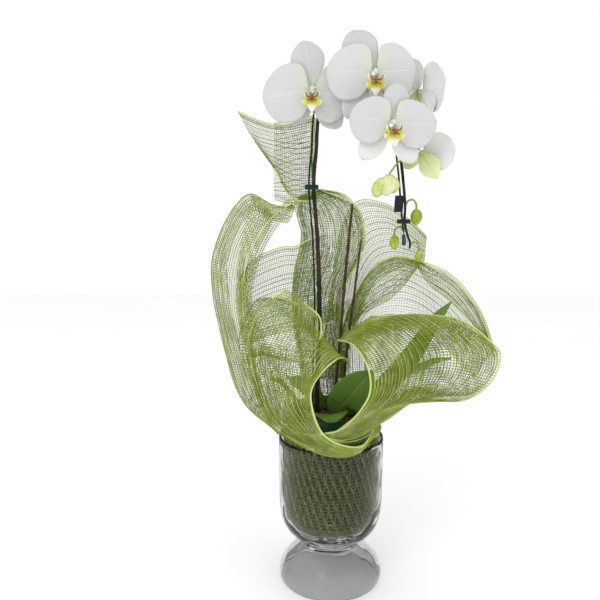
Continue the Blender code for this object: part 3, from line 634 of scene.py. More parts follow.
def makeRibbon(name, ribbon, seed):
    bodies, edges, shines, width, length, strandArea = [], [], [], 0.0, 0.0, 0.0
    rests = ribbon["rests"]
    kind = len(rests)
    pitch, strand, sides = net["pitch"][kind], net["strand"][kind] / ribbon["spread"], net["sides"]
    selvage = net["hornSelvage" if "Horn" in name else "selvage"]
    for turn, (rails, hems) in enumerate(ribbonLayers(ribbon)):
        dice = seed + net["seedStep"] * turn
        cloth = Cloth(rails, net["ripple"], dice)
        lines = max(net["fewestWarps"], round(cloth.width / pitch))
        across = np.linspace(0, 1, lines + 1)[1:-1]
        shift = np.random.default_rng(dice).uniform(-1, 1, len(across))
        across = across + shift * net["scatter"] / lines
        bodies.append(warpStrands(cloth, across, strand, strand, sides, net["step"], dice,
                                  loose=net["loose"]))
        bodies.append(weftStrands(cloth, strand, sides, net["step"], pitch, net["waver"], dice + 1))
        if hems:
            edges.append(warpStrands(cloth, np.array(hems), selvage, net["selvageDepth"], 6,
                                     net["selvageStep"], dice))
        shines.append(warpStrands(cloth, goldPlaces(cloth.width, rests), net["gold"][kind],
                                  net["goldDepth"], 4, net["goldStep"], dice + 2,
                                  twisted=net["goldTwist"], loose=net["loose"]))
        length += cloth.length
        width = max(width, cloth.width)
        strandArea += flatNetArea(cloth, len(across), pitch, strand)
    weave = newPiece(name + "Net", joined(bodies), netFinish, ribbon["node"], "OFBake")
    # ribbons that rest on the vase get the lit gold with painted glints, the others its painted-shade copy
    trims = [newPiece(name + "Selvage", joined(edges), selvageFinish, uvName="OFBake"),
             newPiece(name + "Gold", joined(shines), goldGlintFinish if rests else shadedFoilFinish,
                      uvName="OFBake")]
    print(name, "faces", len(weave.data.polygons), "flat", round(width, 3), round(length, 3),
          "strands", round(strandArea / (width * length), 3))


# rails are near selvage, middle and far selvage in millimetres, from where a loop starts to where it ends;
# folds lie behind the first: their selvages, their share of the width, and how far each rail stands off;
# turns are shorter folds with rails of their own; spread is how far the weave is pulled open
ribbons = {
    "leftHorn": {
        "node": "mesh_left_horn", "held": "folded", "spread": 1.0, "rests": ["glassVase"],
        "rails": (
            ((57, -45, 233), (32, -78, 212), (-12, -93, 231), (-29, -106, 279), (-21, -105, 305),
             (-1, -86, 321), (15, -50, 316), (24, -24, 296)),
            ((62, -42, 224), (30, -83, 206), (-12, -89, 206), (-58, -79, 228), (-88, -74, 259),
             (-110, -66, 336), (-88, -52, 384), (-33, -26, 364)),
            ((60, -38, 214), (26, -70, 205), (-14, -73, 205), (-51, -66, 220), (-81, -62, 261),
             (-101, -50, 332), (-84, -38, 387), (-40, -15, 379)),
        ),
        "turns": (
            ((0.0, 1.0),
             ((-39, -30, 384), (-19, -34, 368), (-15, -36, 353), (-19, -40, 334), (-44, -46, 311),
              (-90, -50, 320)),
             ((-47, -33, 392), (-49, -37, 376), (-54, -40, 360), (-61, -45, 343), (-74, -50, 326),
              (-95, -53, 319)),
             ((-60, -36, 400), (-81, -40, 385), (-96, -46, 368), (-103, -50, 351), (-106, -53, 333),
              (-101, -55, 320))),
            ((),
             ((-35, -78, 220), (-42, -76, 241), (-46, -72, 264), (-48, -68, 287), (-51, -64, 310)),
             ((-60, -74, 232), (-72, -73, 259), (-78, -70, 284), (-82, -66, 307), (-83, -62, 324)),
             ((-80, -66, 243), (-95, -65, 266), (-104, -62, 288), (-109, -58, 312), (-107, -54, 332))),
            ((),
             ((-28, -60, 226), (-29, -56, 250), (-29, -50, 285), (-24, -44, 322)),
             ((-50, -56, 230), (-57, -50, 256), (-61, -46, 290), (-57, -42, 328)),
             ((-70, -52, 238), (-86, -46, 262), (-96, -42, 294), (-94, -38, 332))),
        ),
    },
    "leftLoop": {
        "node": "mesh_left_loop", "held": "folded", "spread": 1.04, "rests": ["glassVase"],
        "rails": (
            ((-67, -45, 216), (-85, -40, 249), (-105, -34, 323), (-114, -30, 386), (-108, -26, 436),
             (-92, -18, 470), (-74, -6, 492), (-52, 4, 506)),
            ((-72, -28, 212), (-119, -25, 259), (-147, -12, 351), (-156, -2, 424), (-138, 6, 484),
             (-109, 14, 518), (-78, 18, 506), (-50, 20, 498)),
            ((-73, -6, 210), (-103, 6, 257), (-130, 18, 346), (-140, 27, 419), (-127, 32, 469),
             (-104, 34, 497), (-80, 32, 486), (-58, 31, 482)),
        ),
        "turns": (
            ((),
             ((-43, 10, 506), (-65, 4, 482), (-84, -4, 452), (-96, -12, 420), (-103, -18, 384),
              (-101, -22, 333)),
             ((-51, 7, 511), (-74, 1, 485), (-93, -7, 452), (-105, -15, 418), (-112, -21, 382),
              (-108, -25, 331)),
             ((-60, 10, 511), (-84, 4, 485), (-103, -4, 452), (-115, -12, 416), (-121, -18, 379),
              (-116, -22, 328))),
            ((),
             ((-71, -45, 224), (-85, -42, 242), (-98, -38, 268), (-110, -34, 305), (-117, -30, 348),
              (-121, -26, 392), (-121, -22, 428), (-117, -16, 458), (-111, -8, 486), (-107, 0, 503),
              (-104, 8, 514)),
             ((-50, -54, 222), (-62, -50, 239), (-76, -44, 266), (-92, -39, 308), (-104, -34, 349),
              (-112, -31, 390), (-112, -27, 424), (-105, -21, 456), (-95, -12, 483), (-92, -3, 500),
              (-98, 4, 513)),
             ((-30, -56, 220), (-38, -50, 237), (-52, -42, 267), (-72, -36, 311), (-90, -30, 348),
              (-102, -26, 386), (-102, -22, 417), (-92, -16, 451), (-78, -8, 476), (-77, 0, 493),
              (-90, 6, 509))),
        ),
    },
    "leftInner": {
        "node": "mesh_left_inner", "held": "gathered", "spread": 1.0, "rests": [],
        "rails": (
            ((-122, -4, 410), (-100, -3, 436), (-68, 4, 450), (-46, 11, 452), (-26, 16, 462),
             (-6, 20, 470)),
            ((-124, -4, 370), (-96, -2, 388), (-62, 6, 400), (-42, 13, 402), (-22, 18, 404), (0, 22, 408)),
            ((-112, -4, 322), (-88, -3, 334), (-58, 4, 340), (-38, 12, 342), (-18, 17, 344), (4, 20, 350)),
        ),
    },
    "rightHorn": {
        "node": "mesh_right_horn", "held": "folded", "spread": 1.0, "rests": ["glassVase"],
        "rails": (
            ((-50, -53, 222), (-9, -83, 229), (17, -98, 251), (35, -104, 275), (41, -102, 296),
             (39, -94, 312), (33, -76, 325), (21, -48, 334), (7, -24, 333)),
            ((-36, -58, 217), (20, -76, 222), (62, -81, 258), (106, -90, 277), (123, -92, 306),
             (124, -84, 334), (109, -66, 354), (78, -44, 368), (30, -24, 352)),
            ((-8, -66, 214), (56, -53, 231), (106, -55, 263), (158, -58, 263), (194, -54, 284),
             (209, -44, 312), (203, -34, 330), (150, -26, 364), (51, -19, 364)),
        ),
        "folds": (((0.0, 1.0), 1.0, -1, 11, 4), ((0.0,), 0.55, -0.5, 4, 6)),
        "turns": (
            ((0.0,),
             ((-12, -88, 232), (4, -84, 234), (22, -77, 238), (41, -66, 245), (54, -56, 246)),
             ((-12, -88, 230), (5, -86, 226), (25, -78, 227), (45, -65, 232), (57, -55, 238)),
             ((-11, -88, 229), (7, -88, 219), (29, -79, 216), (49, -64, 220), (59, -54, 230))),
        ),
    },
    "rightLoop": {
        "node": "mesh_right_loop", "held": "folded", "spread": 1.12, "rests": [],
        "rails": (
            ((12, 24, 272), (12, 22, 312), (18, 20, 352), (37, 30, 394), (60, 44, 422), (92, 56, 435),
             (127, 64, 428), (167, 68, 412), (198, 66, 382), (218, 58, 348), (229, 40, 306)),
            ((32, 18, 272), (30, 15, 309), (30, 13, 345), (43, 12, 377), (66, 12, 398), (94, 16, 405),
             (123, 21, 393), (154, 26, 371), (177, 28, 347), (195, 27, 322), (209, 22, 293)),
            ((50, 16, 276), (47, 14, 306), (42, 13, 336), (54, 10, 347), (71, 8, 353), (98, 8, 350),
             (123, 12, 345), (143, 16, 327), (163, 18, 307), (180, 19, 288), (196, 18, 271)),
        ),
        "turns": (
            ((0.0, 1.0),
             ((20, 26, 351), (38, 36, 392), (60, 48, 421), (92, 60, 433), (124, 66, 428)),
             ((26, 24, 350), (47, 34, 377), (74, 44, 398), (101, 54, 415), (125, 64, 426)),
             ((34, 22, 350), (47, 28, 362), (77, 36, 376), (100, 44, 395), (124, 60, 422))),
            ((0.0, 1.0),
             ((127, 60, 428), (155, 62, 413), (182, 62, 394), (202, 58, 369), (216, 50, 340),
              (224, 40, 312)),
             ((124, 56, 424), (147, 56, 405), (172, 56, 388), (192, 52, 366), (208, 46, 341),
              (218, 37, 316)),
             ((122, 54, 419), (139, 54, 396), (162, 54, 379), (181, 50, 361), (200, 44, 341),
              (212, 36, 321))),
            ((),
             ((-22, 22, 232), (-20, 26, 280), (-20, 27, 325), (-14, 27, 365)),
             ((0, 20, 232), (4, 22, 280), (6, 23, 330), (12, 22, 376)),
             ((22, 18, 232), (27, 17, 280), (30, 16, 332), (36, 16, 380))),
        ),
    },
    "backLoop": {
        "node": "mesh_back_loop", "held": "gathered", "spread": 0.95, "rests": [],
        "rails": (
            ((20, 26, 230), (22, 36, 306), (14, 42, 358), (21, 50, 398), (42, 58, 430), (48, 66, 464),
             (37, 72, 502), (18, 70, 521), (-14, 60, 527)),
            ((-6, 30, 230), (-18, 39, 306), (-28, 43, 368), (-19, 39, 410), (-8, 37, 439), (-8, 40, 469),
             (-13, 46, 496), (-20, 52, 512), (-31, 58, 522)),
            ((-32, 26, 230), (-46, 40, 312), (-52, 50, 366), (-50, 50, 410), (-42, 50, 446), (-40, 52, 470),
             (-46, 56, 492), (-49, 60, 508), (-41, 64, 518)),
        ),
        "folds": (((0.0, 1.0), 1.0, 2, -12, -3),),
    },
    "backEnd": {
        "node": "mesh_back_end", "held": "gathered", "spread": 0.9, "rests": [],
        "rails": (
            ((-22, 54, 262), (-8, 72, 316), (4, 86, 380), (13, 94, 457), (39, 104, 510), (81, 110, 509),
             (115, 108, 488), (141, 96, 462)),
            ((-2, 56, 262), (10, 70, 312), (22, 80, 364), (34, 84, 426), (55, 88, 462), (84, 92, 471),
             (111, 93, 459), (138, 88, 442)),
            ((18, 52, 264), (28, 62, 306), (40, 68, 340), (53, 72, 376), (69, 78, 403), (89, 82, 414),
             (111, 84, 419), (135, 82, 423)),
        ),
    },
    "tail": {
        "node": "mesh_tail", "held": "gathered", "spread": 1.25, "rests": [],
        "rails": (
            ((-25, 8, 614), (-42, 2, 609), (-59, -4, 604), (-76, -10, 604), (-88, -15, 606),
             (-103, -21, 611), (-117, -26, 617)),
            ((-25, 9, 572), (-38, 6, 570), (-52, 2, 570), (-65, -3, 572), (-78, -8, 575), (-89, -12, 578),
             (-98, -16, 583)),
            ((-23, 14, 511), (-34, 13, 510), (-44, 11, 511), (-54, 8, 516), (-62, 4, 526), (-68, 0, 539),
             (-74, -4, 551)),
        ),
        "turns": (
            ((0.0, 1.0),
             ((-26, 12, 617), (-42, 11, 612), (-58, 10, 609), (-74, 10, 608)),
             ((-25, 13, 565), (-42, 13, 562), (-58, 13, 557), (-74, 13, 552)),
             ((-23, 16, 511), (-42, 17, 509), (-58, 17, 508), (-74, 17, 512))),
            ((0.0, 1.0),
             ((-21, 2, 613), (-21, 2, 586), (-22, 3, 561), (-24, 4, 541)),
             ((-25, -1, 613), (-24, -1, 586), (-26, 0, 561), (-26, 1, 541)),
             ((-28, 2, 612), (-28, 2, 586), (-28, 3, 561), (-27, 4, 541))),
        ),
    },
}
for ribbonOrder, (ribbonName, ribbon) in enumerate(ribbons.items()):
    makeRibbon(ribbonName, ribbon, net["seed"] + ribbonOrder)
print("net ribbons woven")


# net lining between glass and pot, wrapped round three times and bunched up under the pot

lining = {
    "top": 0.2045, "wraps": (
        {"radius": 0.0640, "floor": 0.0712, "slant": 0.95, "folds": 5, "foldDepth": 0.0007, "turn": 0.4},
        {"radius": 0.0618, "floor": 0.0780, "slant": -0.35, "folds": 7, "foldDepth": 0.0012, "turn": 1.9},
        {"radius": 0.0596, "floor": 0.0880, "slant": 0.75, "folds": 4, "foldDepth": 0.0012, "turn": 3.1},
    ),
    # where a wrap's wall ends, as a share of its length, and how far it then bends down and in
    "wallShare": 0.66, "bendHeight": 0.030, "bendReach": 0.040,
    "stuffing": ((0.050, 0.094), (0.041, 0.103), (0.050, 0.111)), "hole": 0.16, "crumple": 0.005,
    "crumpleWaves": (3, 9, 400), "seeds": {"cloth": 300, "weft": 400, "foil": 500},
    # the outer wrap, then all that lies behind it
    "pitch": (0.0046, 0.0026), "strand": (0.00120, 0.00070),
    "step": 0.0072, "sides": 3, "waver": 0.05, "ripple": 0.0005,
    "foilGap": 0.0090, "foilSize": (0.0017, 0.0003), "foilStep": 0.0040, "foilTwist": 0.1,
    "look": {"colour": (0.205, 0.285, 0.040), "patch": (0.34, 0.43, 0.12), "scale": 30.0, "amount": 0.9,
             "roughness": 0.5, "sockets": {"Specular IOR Level": 0.15}},
    # the wraps behind the outer one and the net bunched under the pot: the same net nearly black, as painted
    # shade
    "paintedShadeLook": {"colour": (0.016, 0.034, 0.004), "patch": (0.040, 0.064, 0.010), "scale": 30.0,
                 "amount": 0.9, "roughness": 0.6, "sockets": {"Specular IOR Level": 0.1}},
    # foil that shows as dots where it crosses over the weft
    "foil": {"colour": (0.92, 0.88, 0.40), "patch": (0.16, 0.20, 0.05), "scale": 210.0, "amount": 1.0,
             "roughness": 0.35, "sockets": {"Metallic": 0.4}},
}


def liningRails(wrap, count=25):
    # lines down the inside of the vase and in under the pot
    rails = []
    bendTop = wrap["floor"] + lining["bendHeight"]
    for k in range(count):
        angle = math.tau * k / (count - 1) + wrap["turn"]
        rail = []
        for s in np.linspace(0, 1, 12):
            z, r = lining["top"] + (bendTop - lining["top"]) * s / lining["wallShare"], wrap["radius"]
            if s >= lining["wallShare"]:
                bend = (s - lining["wallShare"]) / (1 - lining["wallShare"]) * math.pi / 2
                z = wrap["floor"] + lining["bendHeight"] * (1 - math.sin(bend))
                r -= lining["bendReach"] * (1 - math.cos(bend))
            theta = angle + wrap["slant"] * s
            r -= wrap["foldDepth"] * (0.5 + 0.5 * math.sin(wrap["folds"] * angle
                                                           + 1.3 * math.sin(2 * angle + 5 * s)))
            rail.append((r * math.cos(theta), r * math.sin(theta), z))
        rails.append(rail)
    return rails


def stuffingRails(radius, height, count=21):
    # a crumpled disc of net under the pot
    rails = []
    turning, outward, upward = lining["crumpleWaves"]
    for angle in np.linspace(0, math.tau, count):
        rail = []
        for s in np.linspace(lining["hole"], 1, 7):
            rise = lining["crumple"] * math.sin(turning * angle + outward * s + height * upward) * s
            rail.append((radius * s * math.cos(angle), radius * s * math.sin(angle), height + rise))
        rails.append(rail)
    return rails


def makeLining():
    outside, inside = newFinish("shadedNet", lining["look"]), newFinish("paintedShadeNet", lining["paintedShadeLook"])
    foil = newFinish("dottedFoil", lining["foil"])
    seeds = lining["seeds"]
    layouts = [liningRails(wrap) for wrap in lining["wraps"]]
    layouts += [stuffingRails(*disc) for disc in lining["stuffing"]]
    for turn, rails in enumerate(layouts):
        cloth = Cloth(rails, lining["ripple"], seeds["cloth"] + turn)
        inner = min(turn, 1)
        pitch, strand, sides = lining["pitch"][inner], lining["strand"][inner], lining["sides"]
        across = np.linspace(0, 1, round(cloth.width / pitch) + 1)[:-1]
        lots = [warpStrands(cloth, across, strand, strand, sides, lining["step"], seeds["cloth"] + turn),
                weftStrands(cloth, strand, sides, lining["step"], pitch, lining["waver"],
                            seeds["weft"] + turn)]
        piece = newPiece(f"liningNet{turn + 1}", joined(lots), inside if inner else outside,
                         "mesh_liner", "OFBake")
        if turn < len(lining["wraps"]):
            gap = lining["foilGap"] / cloth.width
            shine = warpStrands(cloth, np.arange(0.2 * gap, 1 - 0.5 * gap, gap), *lining["foilSize"], 4,
                                lining["foilStep"], seeds["foil"] + turn, twisted=lining["foilTwist"])
            newPiece(f"liningGold{turn + 1}", shine, foil, "mesh_liner",
                                   "OFBake")


makeLining()
print("lining wrapped")


# nursery pot with its rolled rim, and the bark it holds

pot = {
    "profile": (
        (0.0000, 0.1182), (0.0432, 0.1182), (0.0449, 0.1187), (0.0456, 0.1202), (0.0480, 0.1420),
        (0.0510, 0.1700), (0.0540, 0.1980), (0.0563, 0.2205), (0.0574, 0.2218), (0.0588, 0.2228),
        (0.0590, 0.2244), (0.0589, 0.2290), (0.0590, 0.2344), (0.0586, 0.2356), (0.0578, 0.2361),
        (0.0569, 0.2360), (0.0562, 0.2352), (0.0558, 0.2330), (0.0553, 0.2215), (0.0500, 0.1740),
        (0.0444, 0.1224), (0.0436, 0.1216), (0.0000, 0.1215),
    ),
    "steps": 96,
    "look": {"colour": (0.014, 0.072, 0.036), "patch": (0.026, 0.105, 0.055), "scale": 40.0, "amount": 0.6,
             "roughness": 0.38, "bump": 0.0003, "grain": 300.0},
}
barkBed = {
    "bed": ((0.0000, 0.1224), (0.0428, 0.1224), (0.0538, 0.2185), (0.0500, 0.2196), (0.0300, 0.2186),
            (0.0000, 0.2192)),
    "steps": 64, "wobble": 0.01, "seed": 5, "chips": 110, "spread": 0.0485, "level": 0.2192,
    "heap": 0.0030, "tip": 0.35,
    "smallest": (0.0045, 0.0030, 0.0018), "largest": (0.0085, 0.0055, 0.0030),
    # spots kept clear for what stands in the bark
    "stems": ((-0.018, 0.0), (-0.0245, 0.001), (0.002, -0.002), (0.012, 0.004)), "clear": 0.006,
    "look": {"colour": (0.105, 0.048, 0.020), "patch": (0.26, 0.15, 0.075), "scale": 90.0, "amount": 0.9,
             "roughness": 0.9, "bump": 0.0012, "grain": 420.0},
}


def barkChip(dice, spot):
    size = dice.uniform(barkBed["smallest"], barkBed["largest"])
    corners = np.array([(x, y, z) for x in (-1, 1) for y in (-1, 1) for z in (-1, 1)], dtype=float)
    corners = corners * size * dice.uniform(0.7, 1.0, (8, 3))
    spin, tip = dice.uniform(0, math.tau), dice.uniform(-barkBed["tip"], barkBed["tip"])
    c, s, ct, st = math.cos(spin), math.sin(spin), math.cos(tip), math.sin(tip)
    turnAbout = np.array(((c, -s * ct, s * st), (s, c * ct, -c * st), (0, st, ct)))
    place = np.array((*spot, barkBed["level"] + dice.uniform(0.0, barkBed["heap"])))
    faces = [(0, 1, 3, 2), (4, 6, 7, 5), (0, 4, 5, 1), (2, 3, 7, 6), (0, 2, 6, 4), (1, 5, 7, 3)]
    return corners @ turnAbout.T + place, faces


def makeBark():
    lots = [turned(barkBed["bed"], barkBed["steps"], barkBed["wobble"])]
    dice = np.random.default_rng(barkBed["seed"])
    while len(lots) <= barkBed["chips"]:
        spot = dice.uniform(-1, 1, 2) * barkBed["spread"]
        nearest = np.min(np.linalg.norm(np.array(barkBed["stems"]) - spot, axis=1))
        if np.linalg.norm(spot) <= barkBed["spread"] and nearest >= barkBed["clear"]:
            lots.append(barkChip(dice, spot))
    newPiece("pottingBark", joined(lots), newFinish("barkChips", barkBed["look"]), "potting_bark",
             smooth=False)


newPiece("nurseryPot", turned(pot["profile"], pot["steps"]), newFinish("potPlastic", pot["look"]),
         "nursery_pot")
makeBark()
print("pot and bark made")


# leaves: centre line, half widths along it, and the direction across the blade

leafShapes = {
    "leafFront": (
        "leaf_front",
        ((0.002, -0.014, 0.2290), (0.010, -0.025, 0.243), (0.022, -0.037, 0.263),
         (0.036, -0.045, 0.284), (0.050, -0.050, 0.300)),
        (0.007, 0.019, 0.026, 0.021, 0.002), (0.80, 0.10, -0.58),
    ),
    "leafRightLong": (
        "leaf_right_long",
        ((0.017, -0.007, 0.2290), (0.039, -0.022, 0.244), (0.067, -0.033, 0.276),
         (0.101, -0.028, 0.316), (0.135, -0.006, 0.357), (0.157, 0.003, 0.379)),
        (0.006, 0.012, 0.014, 0.013, 0.008, 0.001), (0.74, 0.10, -0.62),
    ),
    "leafRightLow": (
        "leaf_right_low",
        ((0.022, 0.010, 0.2290), (0.058, 0.004, 0.251), (0.101, -0.008, 0.285),
         (0.132, -0.017, 0.302), (0.153, -0.021, 0.309)),
        (0.006, 0.012, 0.014, 0.010, 0.001), (0.30, 0.60, -0.45),
    ),
    "leafLowFront": (
        "leaf_low_front",
        ((-0.006, -0.030, 0.2290), (-0.004, -0.042, 0.240), (-0.003, -0.056, 0.2435),
         (-0.003, -0.068, 0.239)),
        (0.010, 0.020, 0.021, 0.006), (1.00, 0.00, 0.06),
    ),
    "leafLeft": (
        "leaf_left",
        ((-0.036, 0.012, 0.2290), (-0.052, 0.016, 0.246), (-0.068, 0.013, 0.266),
         (-0.080, 0.008, 0.273)),
        (0.008, 0.015, 0.014, 0.002), (0.10, 0.97, -0.15),
    ),
    "leafBack": (
        "leaf_back",
        ((-0.012, 0.022, 0.2290), (-0.024, 0.038, 0.244), (-0.042, 0.056, 0.256),
         (-0.060, 0.070, 0.260)),
        (0.006, 0.015, 0.018, 0.002), (0.80, 0.60, 0.00),
    ),
}
leafLook = {
    "colour": (0.120, 0.235, 0.030), "patch": (0.150, 0.265, 0.040), "scale": 22.0, "amount": 0.7,
    "roughness": 0.36, "bump": 0.0002, "grain": 500.0,
    "veinCount": 13.0, "midrib": 0.035, "veinStrength": 0.16, "veinColour": (0.13, 0.24, 0.06),
    "midribStrength": 0.75, "midribColour": (0.22, 0.33, 0.09), "footEnd": 0.22, "footStrength": 0.5,
    "footColour": (0.12, 0.17, 0.05), "midribHeight": -2.5, "veinHeight": 0.00035,
}
leaf = {"thickness": 0.0016, "thinning": 0.65, "leastHalf": 0.0008, "trough": 0.16, "wave": 0.0006,
        "waves": 19, "crowding": 1.35, "rows": 44, "cols": 19}


def bladeAxes(line, across):
    # directions across and out from a blade along its centre line
    ahead = unit(np.gradient(line, axis=0))
    side = unit(np.array(across) - ahead * (ahead @ np.array(across))[:, None])
    return side, np.cross(side, ahead)


def makeLeaf(name, node, centreLine, halfWidths, across, finish):
    s = 1 - (1 - np.linspace(0, 1, leaf["rows"])) ** leaf["crowding"]
    line = splineAt(centreLine, s * (len(centreLine) - 1))
    wide = splineAt(np.array(halfWidths)[:, None], s * (len(halfWidths) - 1))[:, 0]
    wide = np.clip(wide, leaf["leastHalf"], None)
    side, up = bladeAxes(line, across)
    up *= np.sign(up[:, 2] - 0.5 * up[:, 1])[:, None]
    t = np.linspace(-1, 1, leaf["cols"])
    rise = leaf["trough"] * np.abs(t) ** 1.3
    grid = (line[:, None] + side[:, None] * (wide[:, None] * t)[..., None]
            + up[:, None] * (wide[:, None] * rise)[..., None])
    wave = leaf["wave"] * np.sin(s * leaf["waves"] + centreLine[1][0] * 90)[:, None] * np.abs(t) ** 2
    grid = grid + up[:, None] * wave[..., None]
    thickness = leaf["thickness"] * np.tile(1 - leaf["thinning"] * np.abs(t) ** 3, (leaf["rows"], 1))
    newPiece(name, sheetSolid(grid, thickness), finish, node)


leafFinish = bladeFinish("leafGreen", leafLook)
for leafName, (leafNode, *leafShape) in leafShapes.items():
    makeLeaf(leafName, leafNode, *leafShape, leafFinish)
print("leaves made")


# spike, wire, cap, clips, tag and sticks

spikeRoute = (
    (-0.019, 0.000, 0.2226), (-0.018, 0.000, 0.288), (-0.016, 0.000, 0.374), (-0.019, 0.000, 0.460),
    (-0.024, -0.004, 0.527), (-0.021, -0.008, 0.573), (-0.019, -0.009, 0.609),
    (-0.013, -0.007, 0.639), (0.000, -0.009, 0.660), (0.015, -0.016, 0.675), (0.033, -0.026, 0.679),
    (0.051, -0.034, 0.667), (0.065, -0.042, 0.635), (0.073, -0.052, 0.591), (0.077, -0.058, 0.558),
    (0.080, -0.060, 0.533), (0.083, -0.060, 0.504), (0.083, -0.060, 0.484), (0.087, -0.060, 0.467),
    (0.090, -0.060, 0.459), (0.089, -0.060, 0.451),
)
wireRoute = (
    (-0.0254, 0.001, 0.2226), (-0.0242, 0.001, 0.288), (-0.0222, 0.000, 0.374),
    (-0.0252, -0.001, 0.460), (-0.0302, -0.005, 0.527), (-0.0272, -0.010, 0.573),
    (-0.0252, -0.012, 0.609), (-0.020, -0.012, 0.643), (-0.005, -0.014, 0.666),
    (0.012, -0.022, 0.682), (0.034, -0.032, 0.686), (0.055, -0.040, 0.673), (0.0665, -0.047, 0.637),
    (0.0690, -0.053, 0.604), (0.0700, -0.058, 0.588), (0.071, -0.064, 0.561), (0.074, -0.066, 0.535),
    (0.077, -0.066, 0.504), (0.0795, -0.065, 0.484), (0.081, -0.066, 0.470),
)
capRoute = ((0.0811, -0.066, 0.4700), (0.0814, -0.0662, 0.462), (0.0816, -0.0664, 0.4560))
stickRoutes = {
    "stickTall": ("stick_tall", 0.0020, ((0.026, 0.004, 0.507), (0.016, 0.002, 0.395),
                                         (0.011, -0.001, 0.323), (0.002, -0.002, 0.2226))),
    "stickShort": ("stick_short", 0.0016, ((0.038, 0.007, 0.461), (0.029, 0.005, 0.382),
                                           (0.023, 0.004, 0.335), (0.012, 0.004, 0.2226))),
}
flowerStalks = (
    ((-0.0170, -0.0078, 0.634), (-0.0185, -0.020, 0.641), (-0.0240, -0.033, 0.642),
     (-0.0267, -0.0402, 0.6394)),
    ((0.0400, -0.0292, 0.677), (0.0415, -0.042, 0.675), (0.0430, -0.055, 0.665),
     (0.0438, -0.0602, 0.6550)),
    ((0.0735, -0.0515, 0.599), (0.0750, -0.062, 0.602), (0.0690, -0.080, 0.601),
     (0.0615, -0.0892, 0.5932)),
    ((0.0680, -0.0445, 0.624), (0.0800, -0.0530, 0.615), (0.0930, -0.0530, 0.614),
     (0.0985, -0.0480, 0.624), (0.0972, -0.0420, 0.637), (0.0991, -0.0369, 0.6388)),
    ((0.0755, -0.0560, 0.573), (0.0820, -0.0620, 0.575), (0.0920, -0.0600, 0.572),
     (0.0994, -0.0522, 0.5685)),
)
budStalks = (
    ((0.0825, -0.060, 0.500), (0.086, -0.060, 0.508), (0.092, -0.060, 0.510), (0.096, -0.060, 0.505),
     (0.0965, -0.060, 0.4975)),
    ((0.0850, -0.060, 0.474), (0.080, -0.0585, 0.4775), (0.075, -0.058, 0.4775),
     (0.0715, -0.0585, 0.473), (0.0715, -0.0590, 0.467)),
    ((0.0900, -0.060, 0.459), (0.096, -0.060, 0.460), (0.100, -0.060, 0.457), (0.1005, -0.060, 0.449)),
    ((0.0780, -0.0590, 0.556), (0.0785, -0.072, 0.555), (0.0700, -0.081, 0.551),
     (0.0600, -0.0825, 0.5380)),
)
stems = {
    "radii": (0.0032, 0.0031, 0.0029, 0.0024, 0.0021, 0.0021, 0.0020, 0.0018, 0.0013),
    "stalkRadii": (0.0014, 0.0011, 0.0012),
    # joints of the spike, as shares of its length: thick ones up to the bend, thin ones after it
    "joints": (0.086, 0.240, 0.392, 0.560, 0.628), "bend": 0.45, "jointRadii": (0.0032, 0.0024),
    # a joint's ring and sheath: along the spike, out from it, and radius as a share of the spike's
    "ring": ((-0.0016, 0.0, 0.9), (0.0, 0.0, 1.24), (0.0018, 0.0, 0.9)),
    "sheath": ((0.001, -0.0004, 1.12), (0.006, 0.0006, 1.05), (0.011, 0.0016, 0.35)),
    "sheathFacing": (0.2, 0.9, 0.1), "wireRadii": (0.0012, 0.0012),
    "capRadii": (0.0019, 0.0023, 0.0025, 0.0023), "stickTaper": (0.85, 1.0, 1.0, 1.0),
    # how many sides and rings each is made with, and how lumpy it is
    "spikeBuild": (18, 260, 0.03), "stalkBuild": (12, 34), "ringBuild": (18, 12), "sheathBuild": (14, 14),
    "wireBuild": (12, 220), "capBuild": (20, 24), "stickBuild": (10, 80, 0.06),
    "spikeLook": {"colour": (0.016, 0.010, 0.008), "patch": (0.055, 0.028, 0.018), "scale": 45.0,
                  "amount": 0.8, "roughness": 0.5, "bump": 0.0003, "grain": 600.0,
                  "sockets": {"Specular IOR Level": 0.25}},
    "stalkLook": {"colour": (0.30, 0.36, 0.07), "patch": (0.20, 0.14, 0.06), "scale": 55.0, "amount": 0.6,
                  "roughness": 0.45, "bump": 0.0002, "grain": 600.0},
    "stickLook": {"colour": (0.078, 0.036, 0.014), "patch": (0.030, 0.015, 0.008), "scale": 70.0,
                  "amount": 0.9, "roughness": 0.7, "bump": 0.0005, "grain": 700.0},
    "wireLook": {"colour": (0.008, 0.020, 0.012), "patch": (0.014, 0.034, 0.020), "scale": 90.0,
                 "amount": 0.5, "roughness": 0.45, **fineGrain,
                 "sockets": {"Specular IOR Level": 0.25}},
    "capLook": {"colour": (0.003, 0.055, 0.062), "patch": (0.008, 0.090, 0.098), "scale": 120.0,
                "amount": 0.6, "roughness": 0.5, **fineGrain},
}


def spikeJoint(here, ahead, r):
    # a ring round the spike and a short sheath above it
    out = unit(np.cross(ahead, np.array(stems["sheathFacing"])))
    lots = []
    for part in ("ring", "sheath"):
        spots = [here + ahead * along + out * off for along, off, _ in stems[part]]
        lots.append(tube(spots, [r * share for *_, share in stems[part]], *stems[part + "Build"]))
    return lots


def makeStems():
    spikeFinish = newFinish("spikeSkin", stems["spikeLook"])
    stalkFinish = newFinish("greenStalk", stems["stalkLook"])
    lots = [tube(spikeRoute, stems["radii"], *stems["spikeBuild"])]
    line = evenly(spikeRoute, 400)
    for share in stems["joints"]:
        k = int(share * (len(line) - 1))
        radius = stems["jointRadii"][share > stems["bend"]]
        lots += spikeJoint(line[k], unit(line[k + 3] - line[k - 3]), radius)
    newPiece("flowerSpike", joined(lots), spikeFinish, "flower_spike")
    for name, routes in (("flowerStalks", flowerStalks), ("budStalks", budStalks)):
        stalks = joined([tube(route, stems["stalkRadii"], *stems["stalkBuild"]) for route in routes])
        newPiece(name, stalks, stalkFinish, "flower_spike")


